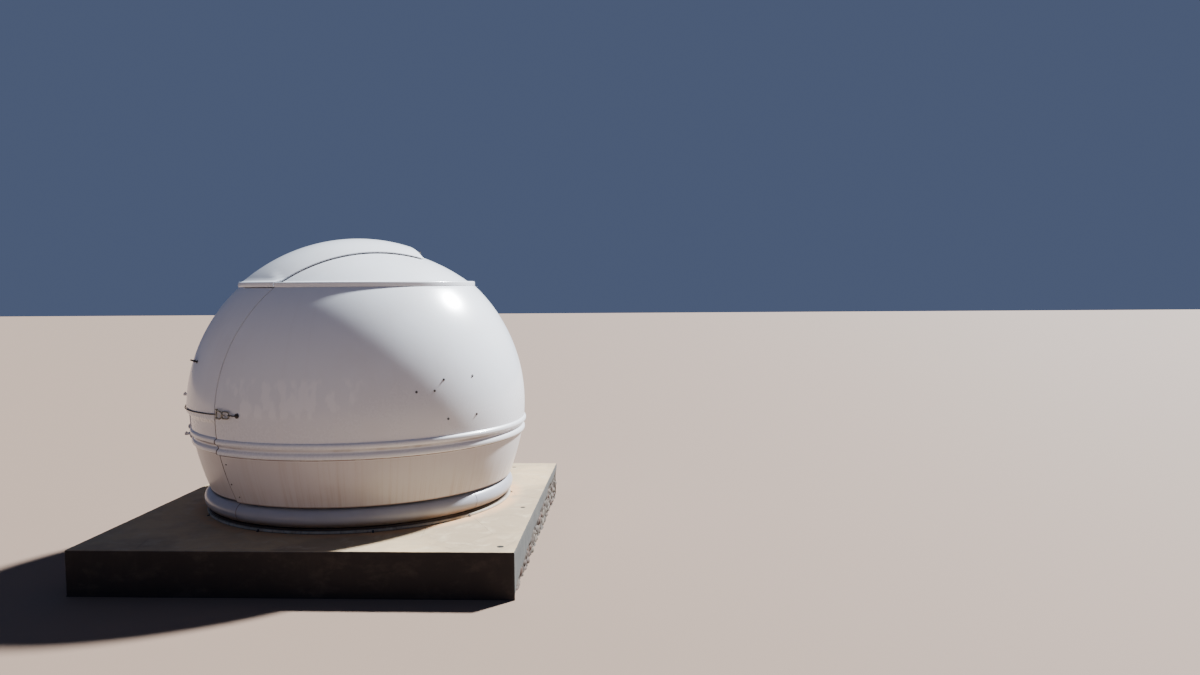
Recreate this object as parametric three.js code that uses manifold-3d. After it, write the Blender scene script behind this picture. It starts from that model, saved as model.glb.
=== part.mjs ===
// Small rotating observatory dome of glass fibre on a square concrete plinth.
// Millimetres, +Z up. The origin is the middle of the plinth's underside, X and Y run along
// its sides, and the door faces -X and -Y.
import * as THREE from "three";
import { mergeVertices } from "three/addons/utils/BufferGeometryUtils.js";
import Module from "manifold-3d";

const wasm = await Module();
wasm.setup();

// Plinth
const PLINTH_X = 3048;
const PLINTH_Y = 3076;
const PLINTH_HEIGHT = 320;
const SCREED = 45;
const CORE_INSET = 6;

// The dome's axis on the plinth, the way that its door faces, and the turn of the base ring
const DOME_X = 34;
const DOME_Y = 99;
const DOOR_DIRECTION = -143.2;
const BASE_DIRECTION = -120.7;

// Heights from here on are above the plinth's top, and radii are from the dome's axis
const SPHERE_R = 1350;
const SPHERE_Z = 791;
const SHELL = 10;
const TOUCH = 0.3;
const HALF_TOUCH = TOUCH / 2;
const LATHE_STEPS = 48;
const ARC_STEPS = 7;

// Base ring: a flat foot under a hollow half-round
const FOOT_OUTER_R = 1220;
const FOOT_INNER_R = 1100;
const FOOT_TOP = 35;
const RING_OUTER_R = 1239;
const RING_TOP = 182;
const DECK_INNER_R = 1050;
const RING_QUARTERS = 4;

// Rollers on the deck
const ROLLERS = 6;
const ROLLER_PLACE_R = 1077;
const ROLLER_R = 30;
const ROLLER_WIDTH = 26;
const TRACK_Z = 252;
const TRACK_INNER_R = 1042;

// Lower wall and its two ribs
const WALL_BOTTOM_Z = 189;
const WALL_BOTTOM_R = 1222;
const WALL_TOP_Z = 527;
const WALL_TOP_R = 1322;
const WALL_BULGE = 7;
const SKIRT_TOP_Z = 667;
const RIB_STEP_Z = 550;

// Ridge and cap
const RIDGE_Z = 1757;
const LIP_TOP_Z = 1795.5;
const LIP_R = 944;
const CAP_R = 1486;
const CAP_Z = 601;
const CAP_INNER_R = 1476;
const CAP_SPLIT_X = -100;

// Slit
const SLIT_HALF = 466;
const DOOR_RIGHT = 456;
const DOOR_LEFT = -458;
const DOOR_TOP_Z = 1752;
const DOOR_RECESS = 30;
const RECESS_TOP = 805;
const RECESS_STEP = 30;
const LEDGE_SLIT_HALF = 459;
const CAP_SLIT_HALF = 400;
const HATCH_HALF = 452;
const HATCH_REAR_X = -372;
const HATCH_R = 1361;
const HATCH_DEPTH = 12;
const HATCH_RIM = 8;
const HATCH_GAP = 8;
const HATCH_FRONT_R = 905;
const HATCH_LIP_Z = 1758;
const HATCH_LIP_R = 947;
const COAMING_REAR_X = -302;
const COAMING_TOP_R = 1488;
const COAMING_FOOT_R = 1436;

// Track flange across the doorway, and the closing strips behind the door's two edges
const SILL_FRONT_X = 1102;
const STOP_TOP_Z = 1738;
const STOP_GAP = 9;
const STOP_THICK = 14;
const STOP_BACK = 487;
const STOP_RIGHT_REACH = 439;
const STOP_LEFT_REACH = 449;

// Door hinge
const HINGE_X = 1291;
const HINGE_Y = -466;
const HINGE_HEIGHTS = { lower: 582, upper: 900 };
const HINGE_PLATE = 9;
const HINGE_EYE_R = 14;
const HINGE_PIN_R = 6;
const HINGE_ROOT = 190;
const BRACKET = { side: -1, near: 3, far: 110, outset: 50 };
const STRAP = { side: 1, near: 10, far: 150, outset: 20 };

// Hatch hinge
const HATCH_HINGE_X = -380;
const HATCH_HINGE_LIFT = 7;
const HATCH_HINGE_Y = 250;
const KNUCKLE_R = 5.5;

// Lashing
const LINK_ANGLE = 26.2;
const LASH_Z = 852;
const LINK_BAR = 5;
const LINK_LIFT = 15.5;
const ROPE_R = 4.5;
const ROPE_LIFT = 8;
const ROPE_START_ANGLE = 19;
const ROPE_END_ANGLE = -16.6;
const ROPE_POINTS = 12;
const PIN_X = -98;
const PIN_R = 6;
const PIN_LIFT = 12;
const ANCHOR_REACH = 15;
const ANCHOR_LUG = 14;

// Handle
const HANDLE_Z = 1200;
const HANDLE_ANGLE = -1.0;
const HANDLE_HALF = 46;
const HANDLE_OUT = 32;

// Large numbers that only have to reach past the part
const FAR = 4000;

const gelCoat = new THREE.MeshStandardMaterial({ color: 0xf1f2f3, roughness: 0.28, metalness: 0 });
const rawGlassFibre = new THREE.MeshStandardMaterial({ color: 0xcfcdc6, roughness: 0.6, metalness: 0 });
const screedCement = new THREE.MeshStandardMaterial({ color: 0xb9a992, roughness: 0.9, metalness: 0 });
const rubbleConcrete = new THREE.MeshStandardMaterial({ color: 0x6f675c, roughness: 0.95, metalness: 0 });
const galvanized = new THREE.MeshStandardMaterial({ color: 0x8d9093, roughness: 0.5, metalness: 0.8 });
const darkSteel = new THREE.MeshStandardMaterial({ color: 0x3c3a38, roughness: 0.6, metalness: 0.7 });
const rollerNylon = new THREE.MeshStandardMaterial({ color: 0x2c2c2e, roughness: 0.5, metalness: 0 });

const radians = THREE.MathUtils.degToRad;

// A closed mesh as a solid, turned outside out where its faces point in
function solid(geometry) {
  const bare = geometry.clone();
  bare.deleteAttribute("normal");
  bare.deleteAttribute("uv");
  const merged = mergeVertices(bare, 1e-3);
  const place = merged.attributes.position;
  const index = Uint32Array.from(merged.index.array);
  if (signedVolume(place, index) < 0) {
    for (let i = 0; i < index.length; i += 3) {
      [index[i], index[i + 1]] = [index[i + 1], index[i]];
    }
  }
  const mesh = new wasm.Mesh({
    numProp: 3,
    vertProperties: Float32Array.from(place.array),
    triVerts: index,
  });
  return new wasm.Manifold(mesh);
}

function signedVolume(place, index) {
  const a = new THREE.Vector3();
  const b = new THREE.Vector3();
  const c = new THREE.Vector3();
  let sum = 0;
  for (let i = 0; i < index.length; i += 3) {
    a.fromBufferAttribute(place, index[i]);
    b.fromBufferAttribute(place, index[i + 1]);
    c.fromBufferAttribute(place, index[i + 2]);
    sum += a.dot(b.cross(c));
  }
  return sum;
}

function geometryOf(manifold) {
  const mesh = manifold.getMesh();
  const geometry = new THREE.BufferGeometry();
  geometry.setAttribute("position", new THREE.BufferAttribute(mesh.vertProperties, mesh.numProp));
  geometry.setIndex(new THREE.BufferAttribute(mesh.triVerts, 1));
  geometry.computeVertexNormals();
  return geometry;
}

function unite(solids) {
  return solids.reduce((all, next) => all.add(next));
}

function piece(name, shape, material) {
  const mesh = new THREE.Mesh(geometryOf(shape), material);
  mesh.name = name;
  return mesh;
}

// A solid of revolution round +Z from a closed outline of [radius, height] points
function revolve(outline) {
  const points = outline.map(([r, z]) => new THREE.Vector2(Math.max(r, 0), z));
  const first = outline[0];
  const last = outline[outline.length - 1];
  if (first[0] > 0 || last[0] > 0) points.push(points[0].clone());
  return solid(new THREE.LatheGeometry(points, LATHE_STEPS).rotateX(Math.PI / 2));
}

function block(x0, x1, y0, y1, z0, z1) {
  const box = new THREE.BoxGeometry(x1 - x0, y1 - y0, z1 - z0);
  return solid(box.translate((x0 + x1) / 2, (y0 + y1) / 2, (z0 + z1) / 2));
}

// A block that reaches past the part on every side for which no limit is given
function space({ x = [-FAR, FAR], y = [-FAR, FAR], z = [-FAR, FAR] }) {
  return block(...x, ...y, ...z);
}

// The upright wedge between two angles in degrees, half a touching gap inside each
function wedge(from, to) {
  const middle = radians((from + to) / 2);
  const apex = HALF_TOUCH / Math.sin(radians((to - from) / 2));
  const at = (angle, reach) => new THREE.Vector2(
    apex * Math.cos(middle) + reach * Math.cos(angle),
    apex * Math.sin(middle) + reach * Math.sin(angle),
  );
  const sides = [radians(from), radians(to)].map((angle) => at(angle, FAR));
  const shape = new THREE.Shape([at(middle, 0), sides[0], at(middle, 2 * FAR), sides[1]]);
  const upright = new THREE.ExtrudeGeometry(shape, { depth: FAR, bevelEnabled: false });
  return solid(upright.translate(0, 0, -FAR / 4));
}

// Points of a sphere's outline round the dome's centre, between two heights
function sphereArc(radius, z0, z1, steps) {
  const start = Math.asin(Math.min((z0 - SPHERE_Z) / radius, 1));
  const end = Math.asin(Math.min((z1 - SPHERE_Z) / radius, 1));
  const points = [];
  for (let i = 0; i <= steps; i += 1) {
    const angle = start + ((end - start) * i) / steps;
    points.push([Math.max(radius * Math.cos(angle), 0), SPHERE_Z + radius * Math.sin(angle)]);
  }
  return points;
}

function arcPoints(r, z, radius, from, to, steps) {
  const points = [];
  for (let i = 0; i <= steps; i += 1) {
    const angle = radians(from + ((to - from) * i) / steps);
    points.push([r + radius * Math.cos(angle), z + radius * Math.sin(angle)]);
  }
  return points;
}

// The wall's outer face, slightly bulged
function wallRadius(z) {
  const along = (z - WALL_BOTTOM_Z) / (WALL_TOP_Z - WALL_BOTTOM_Z);
  return WALL_BOTTOM_R + (WALL_TOP_R - WALL_BOTTOM_R) * along + 4 * WALL_BULGE * along * (1 - along);
}

function wallPoints(inward, z0, z1, steps) {
  const points = [];
  for (let i = 0; i <= steps; i += 1) {
    const z = z0 + ((z1 - z0) * i) / steps;
    points.push([wallRadius(z) - inward, z]);
  }
  return points;
}

// How far the door's wall and ribs lie back from the shell's at a height
function recess(z) {
  return DOOR_RECESS * Math.min(Math.max((RECESS_TOP - z) / RECESS_STEP, 0), 1);
}

function recessed(outline) {
  return outline.map(([r, z]) => [r - recess(z), z]);
}

// The two ribs from the wall's top up to the sphere, as the outline of their outer face
function ribPoints() {
  return [
    [WALL_TOP_R + 6, RIB_STEP_Z - 2],
    [WALL_TOP_R + 13, RIB_STEP_Z],
    [1346, 558],
    [1349, 572],
    [1343, 592],
    [1334, 613],
    [1337, 623],
    [1355, 631],
    [1360, 646],
    [1356, 660],
    [1345, SKIRT_TOP_Z],
  ];
}

// The skirt's inner face above the track flange, moved towards the axis by a depth
function skirtInside(depth) {
  return [
    ...wallPoints(SHELL + depth, TRACK_Z + SHELL, WALL_TOP_Z, 3),
    [1316 - depth, 573],
    [1334 - depth, SKIRT_TOP_Z],
  ];
}

// Lower wall with its ribs, and with the inward track flange where asked
function skirtOutline(withTrack) {
  const flange = [
    [TRACK_INNER_R, TRACK_Z + SHELL],
    [TRACK_INNER_R, TRACK_Z],
  ];
  return [
    ...wallPoints(0, WALL_BOTTOM_Z, WALL_TOP_Z, 3),
    ...ribPoints(),
    ...skirtInside(0).reverse(),
    ...(withTrack ? flange : []),
    [wallRadius(TRACK_Z) - SHELL, TRACK_Z],
    [wallRadius(WALL_BOTTOM_Z) - SHELL, WALL_BOTTOM_Z],
  ];
}

// The sphere zone's outline up to the ridge, with a point at each end of the door's step
function zoneArc(radius) {
  return [
    ...sphereArc(radius, SKIRT_TOP_Z + TOUCH, RECESS_TOP - RECESS_STEP, 1),
    ...sphereArc(radius, RECESS_TOP, RIDGE_Z, ARC_STEPS - 1),
  ];
}

// The sphere zone's inner face up to the ridge, moved inward by a depth
function shellInside(depth) {
  const inner = SPHERE_R - SHELL;
  const share = (inner - depth) / inner;
  return zoneArc(inner).map(([r, z]) => [r * share, SPHERE_Z + (z - SPHERE_Z) * share]);
}

function shellOutline() {
  return [...zoneArc(SPHERE_R), ...shellInside(0).reverse()];
}

// The cap's arc at another radius, so that shells lying over each other have parallel facets
function capArc(radius) {
  const low = Math.asin((LIP_TOP_Z + 6 - CAP_Z) / CAP_R);
  return arcPoints(0, CAP_Z, radius, THREE.MathUtils.radToDeg(low), 90, ARC_STEPS);
}

function capOutline() {
  return [
    [LIP_R - 5, RIDGE_Z + TOUCH],
    [LIP_R, RIDGE_Z + 5],
    [LIP_R, LIP_TOP_Z - 9],
    [LIP_R - 8, LIP_TOP_Z],
    [890, LIP_TOP_Z],
    ...capArc(CAP_R),
    ...capArc(CAP_INNER_R).reverse(),
    [883, LIP_TOP_Z - 18],
    [898, RIDGE_Z + TOUCH],
  ];
}

// The outline of all that lies within the outer skin, grown by a touching gap, to trim fittings against it
function envelope() {
  return [
    [0, 0],
    [WALL_BOTTOM_R + TOUCH, 0],
    ...wallPoints(-TOUCH, WALL_BOTTOM_Z, WALL_TOP_Z, 3),
    ...ribPoints().map(([r, z]) => [r + TOUCH, z]),
    ...zoneArc(SPHERE_R + TOUCH),
    [0, RIDGE_Z],
  ];
}

const slitSpace = space({ x: [0, FAR], y: [-SLIT_HALF, SLIT_HALF] });
const doorSpace = space({ x: [0, FAR], y: [DOOR_LEFT, DOOR_RIGHT] });
const belowDoorTop = space({ z: [-FAR, DOOR_TOP_Z] });
const skin = revolve(envelope());
const doorSkin = revolve(recessed(envelope()));

function plinth() {
  const group = new THREE.Group();
  const coreTop = PLINTH_HEIGHT - SCREED;
  const slab = (inset, z0, z1) => {
    const halfX = PLINTH_X / 2 - inset;
    const halfY = PLINTH_Y / 2 - inset;
    return block(-halfX, halfX, -halfY, halfY, z0, z1);
  };
  const core = slab(CORE_INSET, 0, coreTop);
  const screed = slab(0, coreTop, PLINTH_HEIGHT);
  group.add(piece("plinth_core", core, rubbleConcrete));
  group.add(piece("plinth_screed", screed, screedCement));
  return group;
}

function baseRing() {
  const group = new THREE.Group();
  group.position.set(DOME_X, DOME_Y, PLINTH_HEIGHT);
  group.rotation.z = radians(BASE_DIRECTION);
  const foot = revolve([
    [FOOT_INNER_R, TOUCH],
    [FOOT_OUTER_R, TOUCH],
    [FOOT_OUTER_R, FOOT_TOP],
    [FOOT_INNER_R, FOOT_TOP],
  ]);
  const bottom = FOOT_TOP + TOUCH;
  const roundR = (RING_TOP - bottom) / 2;
  const centreR = RING_OUTER_R - roundR;
  const centreZ = bottom + roundR;
  const ring = revolve([
    [FOOT_INNER_R, bottom],
    ...arcPoints(centreR, centreZ, roundR, -90, 90, 8),
    [DECK_INNER_R, RING_TOP],
    [DECK_INNER_R, RING_TOP - SHELL],
    ...arcPoints(centreR, centreZ, roundR - SHELL, 90, -90, 5),
    [FOOT_INNER_R, bottom + SHELL],
  ]);
  const span = 360 / RING_QUARTERS;
  for (let i = 0; i < RING_QUARTERS; i += 1) {
    const part = wedge(i * span, (i + 1) * span);
    group.add(piece(`foot_ring_${i + 1}`, foot.intersect(part), gelCoat));
    group.add(piece(`base_ring_${i + 1}`, ring.intersect(part), gelCoat));
  }
  for (let i = 0; i < ROLLERS; i += 1) {
    const roller = piece(`roller_${i + 1}`, rollerShape(), rollerNylon);
    const angle = radians((i + 0.5) * (360 / ROLLERS));
    roller.position.set(ROLLER_PLACE_R * Math.cos(angle), ROLLER_PLACE_R * Math.sin(angle), 0);
    roller.rotation.z = angle;
    group.add(roller);
  }
  return group;
}

// A roller between two cheeks on a foot plate: the axle points at the dome's axis
function rollerShape() {
  const plateTop = RING_TOP + TOUCH + 5;
  const cheek = 4;
  const half = ROLLER_WIDTH / 2;
  const axleZ = TRACK_Z - TOUCH - ROLLER_R;
  const plate = block(-half - cheek, half + cheek, -42, 42, RING_TOP + TOUCH, plateTop);
  const cheeks = [-1, 1].map((side) => {
    const x = side * (half + cheek / 2);
    return block(x - cheek / 2, x + cheek / 2, -16, 16, plateTop - 1, axleZ + 12);
  });
  const wheel = solid(new THREE.CylinderGeometry(ROLLER_R, ROLLER_R, ROLLER_WIDTH - 2, 16)
    .rotateZ(Math.PI / 2).translate(0, 0, axleZ));
  const axle = solid(new THREE.CylinderGeometry(6, 6, ROLLER_WIDTH + 2 * cheek - 1, 8)
    .rotateZ(Math.PI / 2).translate(0, 0, axleZ));
  return unite([plate, ...cheeks, wheel, axle]);
}

// Six segments of a full ring, left open at the slit, counted from the door round both sides
function addSegments(group, kind, ring, material) {
  const names = ["right_front", "right_side", "right_rear", "left_rear", "left_side", "left_front"];
  const open = ring.subtract(slitSpace);
  names.forEach((place, i) => {
    group.add(piece(`${kind}_${place}`, open.intersect(wedge(i * 60, (i + 1) * 60)), material));
  });
}

function cap() {
  const group = new THREE.Group();
  const ledgeSlit = space({ x: [0, FAR], y: [-LEDGE_SLIT_HALF, LEDGE_SLIT_HALF], z: [0, LIP_TOP_Z + 5] });
  const topHalf = CAP_SLIT_HALF + TOUCH;
  const topSlit = space({ x: [COAMING_REAR_X - TOUCH, FAR], y: [-topHalf, topHalf] });
  const open = revolve(capOutline()).subtract(ledgeSlit).subtract(topSlit);
  const rearSpace = (inset) => space({
    x: [-FAR, CAP_SPLIT_X - inset],
    y: [-LEDGE_SLIT_HALF + inset, LEDGE_SLIT_HALF - inset],
  });
  const sides = open.subtract(rearSpace(-HALF_TOUCH));
  group.add(piece("cap_right", sides.intersect(space({ y: [0, FAR] })), gelCoat));
  group.add(piece("cap_left", sides.intersect(space({ y: [-FAR, 0] })), gelCoat));
  group.add(piece("cap_rear", open.intersect(rearSpace(HALF_TOUCH)), gelCoat));
  return group;
}

// A band of the cap's zone over the ledge, between two radii
function capBand(inner, outer) {
  return revolve([...capArc(outer), ...capArc(inner).reverse()]);
}

function hatchCoaming() {
  const border = (inset) => space({
    x: [COAMING_REAR_X + inset, FAR],
    y: [-CAP_SLIT_HALF + inset, CAP_SLIT_HALF - inset],
  });
  return capBand(COAMING_FOOT_R, COAMING_TOP_R).intersect(border(0)).subtract(border(SHELL));
}

function doorSill() {
  const flange = revolve([
    [TRACK_INNER_R, TRACK_Z],
    [WALL_BOTTOM_R, TRACK_Z],
    [WALL_BOTTOM_R, TRACK_Z + SHELL],
    [TRACK_INNER_R, TRACK_Z + SHELL],
  ]);
  return flange.intersect(space({ x: [0, SILL_FRONT_X], y: [-SLIT_HALF + TOUCH, SLIT_HALF - TOUCH] }));
}

function insideFace(depth) {
  return [...skirtInside(depth), ...shellInside(depth)];
}

// The space between two faces behind the inner skin, from above the sill to below the ridge
function lining(outer, inner) {
  const height = space({ z: [TRACK_Z + SHELL + TOUCH, STOP_TOP_Z] });
  return revolve([...outer, ...inner.reverse()]).intersect(height);
}

// A strip behind the gap at one edge of the door, fixed to the shell beside it
function doorStop(side, reach) {
  const back = lining(recessed(insideFace(STOP_GAP)), recessed(insideFace(STOP_GAP + STOP_THICK)));
  const web = lining(insideFace(TOUCH), recessed(insideFace(STOP_GAP + 1)));
  const band = (near, past) => {
    const y = [side * near, side * past].sort((a, b) => a - b);
    return space({ x: [0, FAR], y });
  };
  return back.intersect(band(reach, STOP_BACK)).add(web.intersect(band(SLIT_HALF + 2, STOP_BACK)));
}

// One half's flat plate, from inside the skin out to the eye round the pin
function hingePlate({ side, near, far, outset }, bottom) {
  const tuck = Math.asin(near / HINGE_EYE_R);
  const root = HINGE_X - HINGE_ROOT;
  const shape = new THREE.Shape();
  shape.moveTo(root, HINGE_Y + side * near);
  shape.lineTo(HINGE_X - HINGE_EYE_R * Math.cos(tuck), HINGE_Y + side * near);
  shape.absarc(HINGE_X, HINGE_Y, HINGE_EYE_R, -side * (Math.PI + tuck), side * (Math.PI / 4), side < 0);
  shape.lineTo(HINGE_X - outset, HINGE_Y + side * far);
  shape.lineTo(root, HINGE_Y + side * far);
  const options = { depth: HINGE_PLATE, bevelEnabled: false, curveSegments: 12 };
  return solid(new THREE.ExtrudeGeometry(shape, options).translate(0, 0, bottom));
}

function post(radius, z0, z1) {
  return solid(new THREE.CylinderGeometry(radius, radius, z1 - z0, 16)
    .rotateX(Math.PI / 2).translate(HINGE_X, HINGE_Y, (z0 + z1) / 2));
}

// The dome's half carries the pin, and the door's half drops over it
function hingeBracket(z) {
  return hingePlate(BRACKET, z).add(post(HINGE_PIN_R, z + 1, z + 3 * HINGE_PLATE)).subtract(skin);
}

function hingeStrap(z) {
  const bottom = z + HINGE_PLATE + TOUCH;
  const hole = post(HINGE_PIN_R + TOUCH, bottom - 5, bottom + 5 * HINGE_PLATE);
  return hingePlate(STRAP, bottom).subtract(hole).subtract(doorSkin);
}

// A round bar along a smooth route of points
function bar(points, radius, steps) {
  const route = new THREE.CatmullRomCurve3(points.map((p) => new THREE.Vector3(...p)), false, "centripetal");
  const section = new THREE.Shape();
  section.absarc(0, 0, radius, 0, 2 * Math.PI, false);
  const options = { steps, extrudePath: route, bevelEnabled: false, curveSegments: 3 };
  return solid(new THREE.ExtrudeGeometry(section, options));
}

// A frame on the sphere: x to the right along the skin, y up it, z out of it
function skinFrame(angle, z) {
  const lift = Math.asin((z - SPHERE_Z) / SPHERE_R);
  const turn = radians(angle);
  const level = Math.cos(lift);
  const out = new THREE.Vector3(level * Math.cos(turn), level * Math.sin(turn), Math.sin(lift));
  const right = new THREE.Vector3(-Math.sin(turn), Math.cos(turn), 0);
  const up = out.clone().cross(right);
  const place = out.clone().multiplyScalar(SPHERE_R).add(new THREE.Vector3(0, 0, SPHERE_Z));
  return new THREE.Matrix4().makeBasis(right, up, out).setPosition(place);
}

function ropePoint(angle, lift) {
  const turn = radians(angle);
  const slope = 0.55;
  const z = LASH_Z - 20 + slope * (angle + 10);
  const r = Math.sqrt(SPHERE_R ** 2 - (z - SPHERE_Z) ** 2) + lift;
  return [r * Math.cos(turn), r * Math.sin(turn), z];
}

function inFrame(frame, shape) {
  return solid(geometryOf(shape).applyMatrix4(frame));
}

// An oval link of round bar lying along the skin
function link() {
  const straight = 15;
  const ring = new THREE.TorusGeometry(25, LINK_BAR, 6, 16);
  const place = ring.attributes.position;
  for (let i = 0; i < place.count; i += 1) {
    const x = place.getX(i);
    if (Math.abs(x) > 1e-6) place.setX(i, x + Math.sign(x) * straight);
  }
  ring.translate(0, 0, LINK_LIFT);
  return inFrame(skinFrame(LINK_ANGLE, LASH_Z), solid(ring));
}

function eyeBolt() {
  const ring = new THREE.TorusGeometry(10.5, 4, 6, 12);
  const eye = solid(ring.rotateX(Math.PI / 2).translate(41.2, 0, LINK_LIFT));
  const route = [[52, 0, LINK_LIFT], [75, 0, LINK_LIFT], [92, 0, LINK_LIFT - 1], [100, 0, 7], [101, 0, -8]];
  const shank = bar(route, 4.5, 10);
  const washer = solid(new THREE.CylinderGeometry(16, 16, 12, 12).rotateX(Math.PI / 2).translate(101, 0, -4));
  return inFrame(skinFrame(LINK_ANGLE, LASH_Z), unite([eye, shank, washer])).subtract(skin);
}

// The lashing's shackle lies over the link, with a tongue that drops into it
function shackle() {
  const half = [[-104, 33, 10], [-80, 34, 17], [-55, 33, 25], [-38, 27, 28], [-22, 13, 28]];
  const back = half.map(([x, y, z]) => [x, -y, z]).reverse();
  const bow = bar([...half, [-17, 0, 28], ...back], 5.5, 20);
  const tongue = bar([[-18, 0, 30], [-19, 0, 20], [-19, 0, 8]], 4, 4);
  const pin = solid(new THREE.CylinderGeometry(PIN_R, PIN_R, 88, 10).translate(PIN_X, 0, PIN_LIFT));
  const head = solid(new THREE.CylinderGeometry(10, 10, 9, 10).translate(PIN_X, 46, PIN_LIFT));
  return inFrame(skinFrame(LINK_ANGLE, LASH_Z), unite([bow, tongue, pin, head]));
}

function wireRope() {
  const atPin = new THREE.Vector3(PIN_X - PIN_R - TOUCH, 0, PIN_LIFT);
  const points = [atPin.applyMatrix4(skinFrame(LINK_ANGLE, LASH_Z)).toArray()];
  const span = ROPE_END_ANGLE - ROPE_START_ANGLE;
  for (let i = 0; i <= ROPE_POINTS; i += 1) {
    points.push(ropePoint(ROPE_START_ANGLE + (span * i) / ROPE_POINTS, ROPE_LIFT));
  }
  return bar(points, ROPE_R, 24);
}

function ropeAnchor() {
  const angle = ROPE_END_ANGLE - THREE.MathUtils.radToDeg((ANCHOR_REACH + TOUCH) / SPHERE_R);
  const frame = skinFrame(angle, ropePoint(angle, 0)[2]);
  const plate = block(-ANCHOR_REACH, ANCHOR_REACH, -16, 16, -4, 3);
  const lug = block(-6, ANCHOR_REACH, -6, 6, 0, ANCHOR_LUG);
  return inFrame(frame, unite([plate, lug])).subtract(skin);
}

// A bar handle that lies level on the door, on two round feet
function grabHandle() {
  const half = [[-HANDLE_HALF, 0, -8], [-HANDLE_HALF, 0, HANDLE_OUT - 12], [10 - HANDLE_HALF, 0, HANDLE_OUT]];
  const back = half.map(([x, y, z]) => [-x, y, z]).reverse();
  const grip = bar([...half, [0, 0, HANDLE_OUT + 1], ...back], 6, 16);
  const feet = [-HANDLE_HALF, HANDLE_HALF].map((x) => {
    const foot = new THREE.CylinderGeometry(13, 13, 10, 10);
    return solid(foot.rotateX(Math.PI / 2).translate(x, 0, -1.5));
  });
  return inFrame(skinFrame(HANDLE_ANGLE, HANDLE_Z), unite([grip, ...feet])).subtract(skin);
}

function frontDoor() {
  const group = new THREE.Group();
  const lower = revolve(recessed(skirtOutline(false))).intersect(doorSpace);
  group.add(piece("door_lower", lower, gelCoat));
  const upper = revolve(recessed(shellOutline())).intersect(doorSpace).intersect(belowDoorTop);
  group.add(piece("door_upper", upper, gelCoat));
  Object.entries(HINGE_HEIGHTS).forEach(([place, z]) => {
    group.add(piece(`door_hinge_strap_${place}`, hingeStrap(z), galvanized));
  });
  group.add(piece("door_handle", grabHandle(), darkSteel));
  group.add(piece("lashing_shackle", shackle(), darkSteel));
  group.add(piece("lashing_wire_rope", wireRope(), darkSteel));
  group.add(piece("lashing_anchor", ropeAnchor(), darkSteel));
  return group;
}

function sphereHeight(radius, centre, x, y) {
  return centre + Math.sqrt(radius ** 2 - x ** 2 - y ** 2);
}

// The hatch's outer face: a sphere whose sides turn down to hover over the cap
function hatchHeight(x, y) {
  const foot = Math.max(sphereHeight(CAP_R, CAP_Z, x, HATCH_HALF), LIP_TOP_Z) + HATCH_GAP + HATCH_RIM;
  const drop = Math.max(sphereHeight(HATCH_R, SPHERE_Z, x, HATCH_HALF) - foot, -4);
  return sphereHeight(HATCH_R, SPHERE_Z, x, y) - drop * (Math.abs(y) / HATCH_HALF) ** 3;
}

function hatchDepth(y) {
  return HATCH_DEPTH + (HATCH_RIM - HATCH_DEPTH) * (Math.abs(y) / HATCH_HALF) ** 8;
}

function steps(first, last, count) {
  return Array.from({ length: count + 1 }, (_, i) => first + ((last - first) * i) / count);
}

// The closed outline of the hatch where it is cut at y, from the rear's foot over to the lip and back
function hatchSlice(y) {
  const onCircle = (r) => Math.sqrt(r ** 2 - y ** 2);
  const rearFoot = (x) => sphereHeight(CAP_R, CAP_Z, x, y) + HATCH_GAP - 1;
  const insideRear = HATCH_REAR_X + SHELL;
  const over = steps(HATCH_REAR_X, onCircle(HATCH_FRONT_R), 16).map((x) => [x, hatchHeight(x, y)]);
  const lip = [
    [HATCH_LIP_R - 22, LIP_TOP_Z + 4],
    [HATCH_LIP_R - 8, LIP_TOP_Z + 3],
    [HATCH_LIP_R, LIP_TOP_Z - 7],
    [HATCH_LIP_R, HATCH_LIP_Z + 6],
    [HATCH_LIP_R - 9, HATCH_LIP_Z],
    [HATCH_LIP_R - 41, HATCH_LIP_Z],
  ].map(([r, z]) => [onCircle(r), z]);
  const under = steps(onCircle(HATCH_FRONT_R - 8), insideRear, 16)
    .map((x) => [x, hatchHeight(x, y) - hatchDepth(y)]);
  const [outerFoot, innerFoot] = [HATCH_REAR_X, insideRear].map((x) => [x, rearFoot(x)]);
  const slice = [outerFoot, ...over, ...lip, ...under, innerFoot];
  return slice.map(([x, z]) => new THREE.Vector3(x, y, z));
}

// A closed solid through slices that all have the same number of points
function loft(slices) {
  const count = slices[0].length;
  const faces = [];
  slices.slice(1).forEach((_, i) => {
    for (let k = 0; k < count; k += 1) {
      const [a, b] = [i * count + k, i * count + ((k + 1) % count)];
      faces.push(a, a + count, b, b, a + count, b + count);
    }
  });
  const plan = slices[0].map((p) => new THREE.Vector2(p.x, p.z));
  THREE.ShapeUtils.triangulateShape(plan, []).forEach(([a, b, c]) => {
    const last = (slices.length - 1) * count;
    faces.push(a, c, b, last + a, last + b, last + c);
  });
  const geometry = new THREE.BufferGeometry().setFromPoints(slices.flat());
  geometry.setIndex(faces);
  return solid(geometry);
}

function topHatch() {
  const rows = [0, 0.16, 0.32, 0.48, 0.62, 0.75, 0.86, 0.95, 1].map((share) => share * HATCH_HALF);
  const across = [...rows.slice(1).reverse().map((y) => -y), ...rows];
  return piece("top_hatch", loft(across.map(hatchSlice)), gelCoat);
}

const hatchHingeZ = sphereHeight(CAP_R, CAP_Z, HATCH_HINGE_X, 0) + HATCH_HINGE_LIFT;

function knuckle(radius, from, to) {
  return solid(new THREE.CylinderGeometry(radius, radius, to - from, 12).translate(0, (from + to) / 2, 0));
}

function capLeaf() {
  const foot = block(-45, -9, -30, 30, -60, -2);
  const web = block(-10, 0, -14, 14, -5, 1);
  return unite([foot, web, knuckle(KNUCKLE_R, -14, 14)]).subtract(knuckle(3, -40, 40));
}

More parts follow.
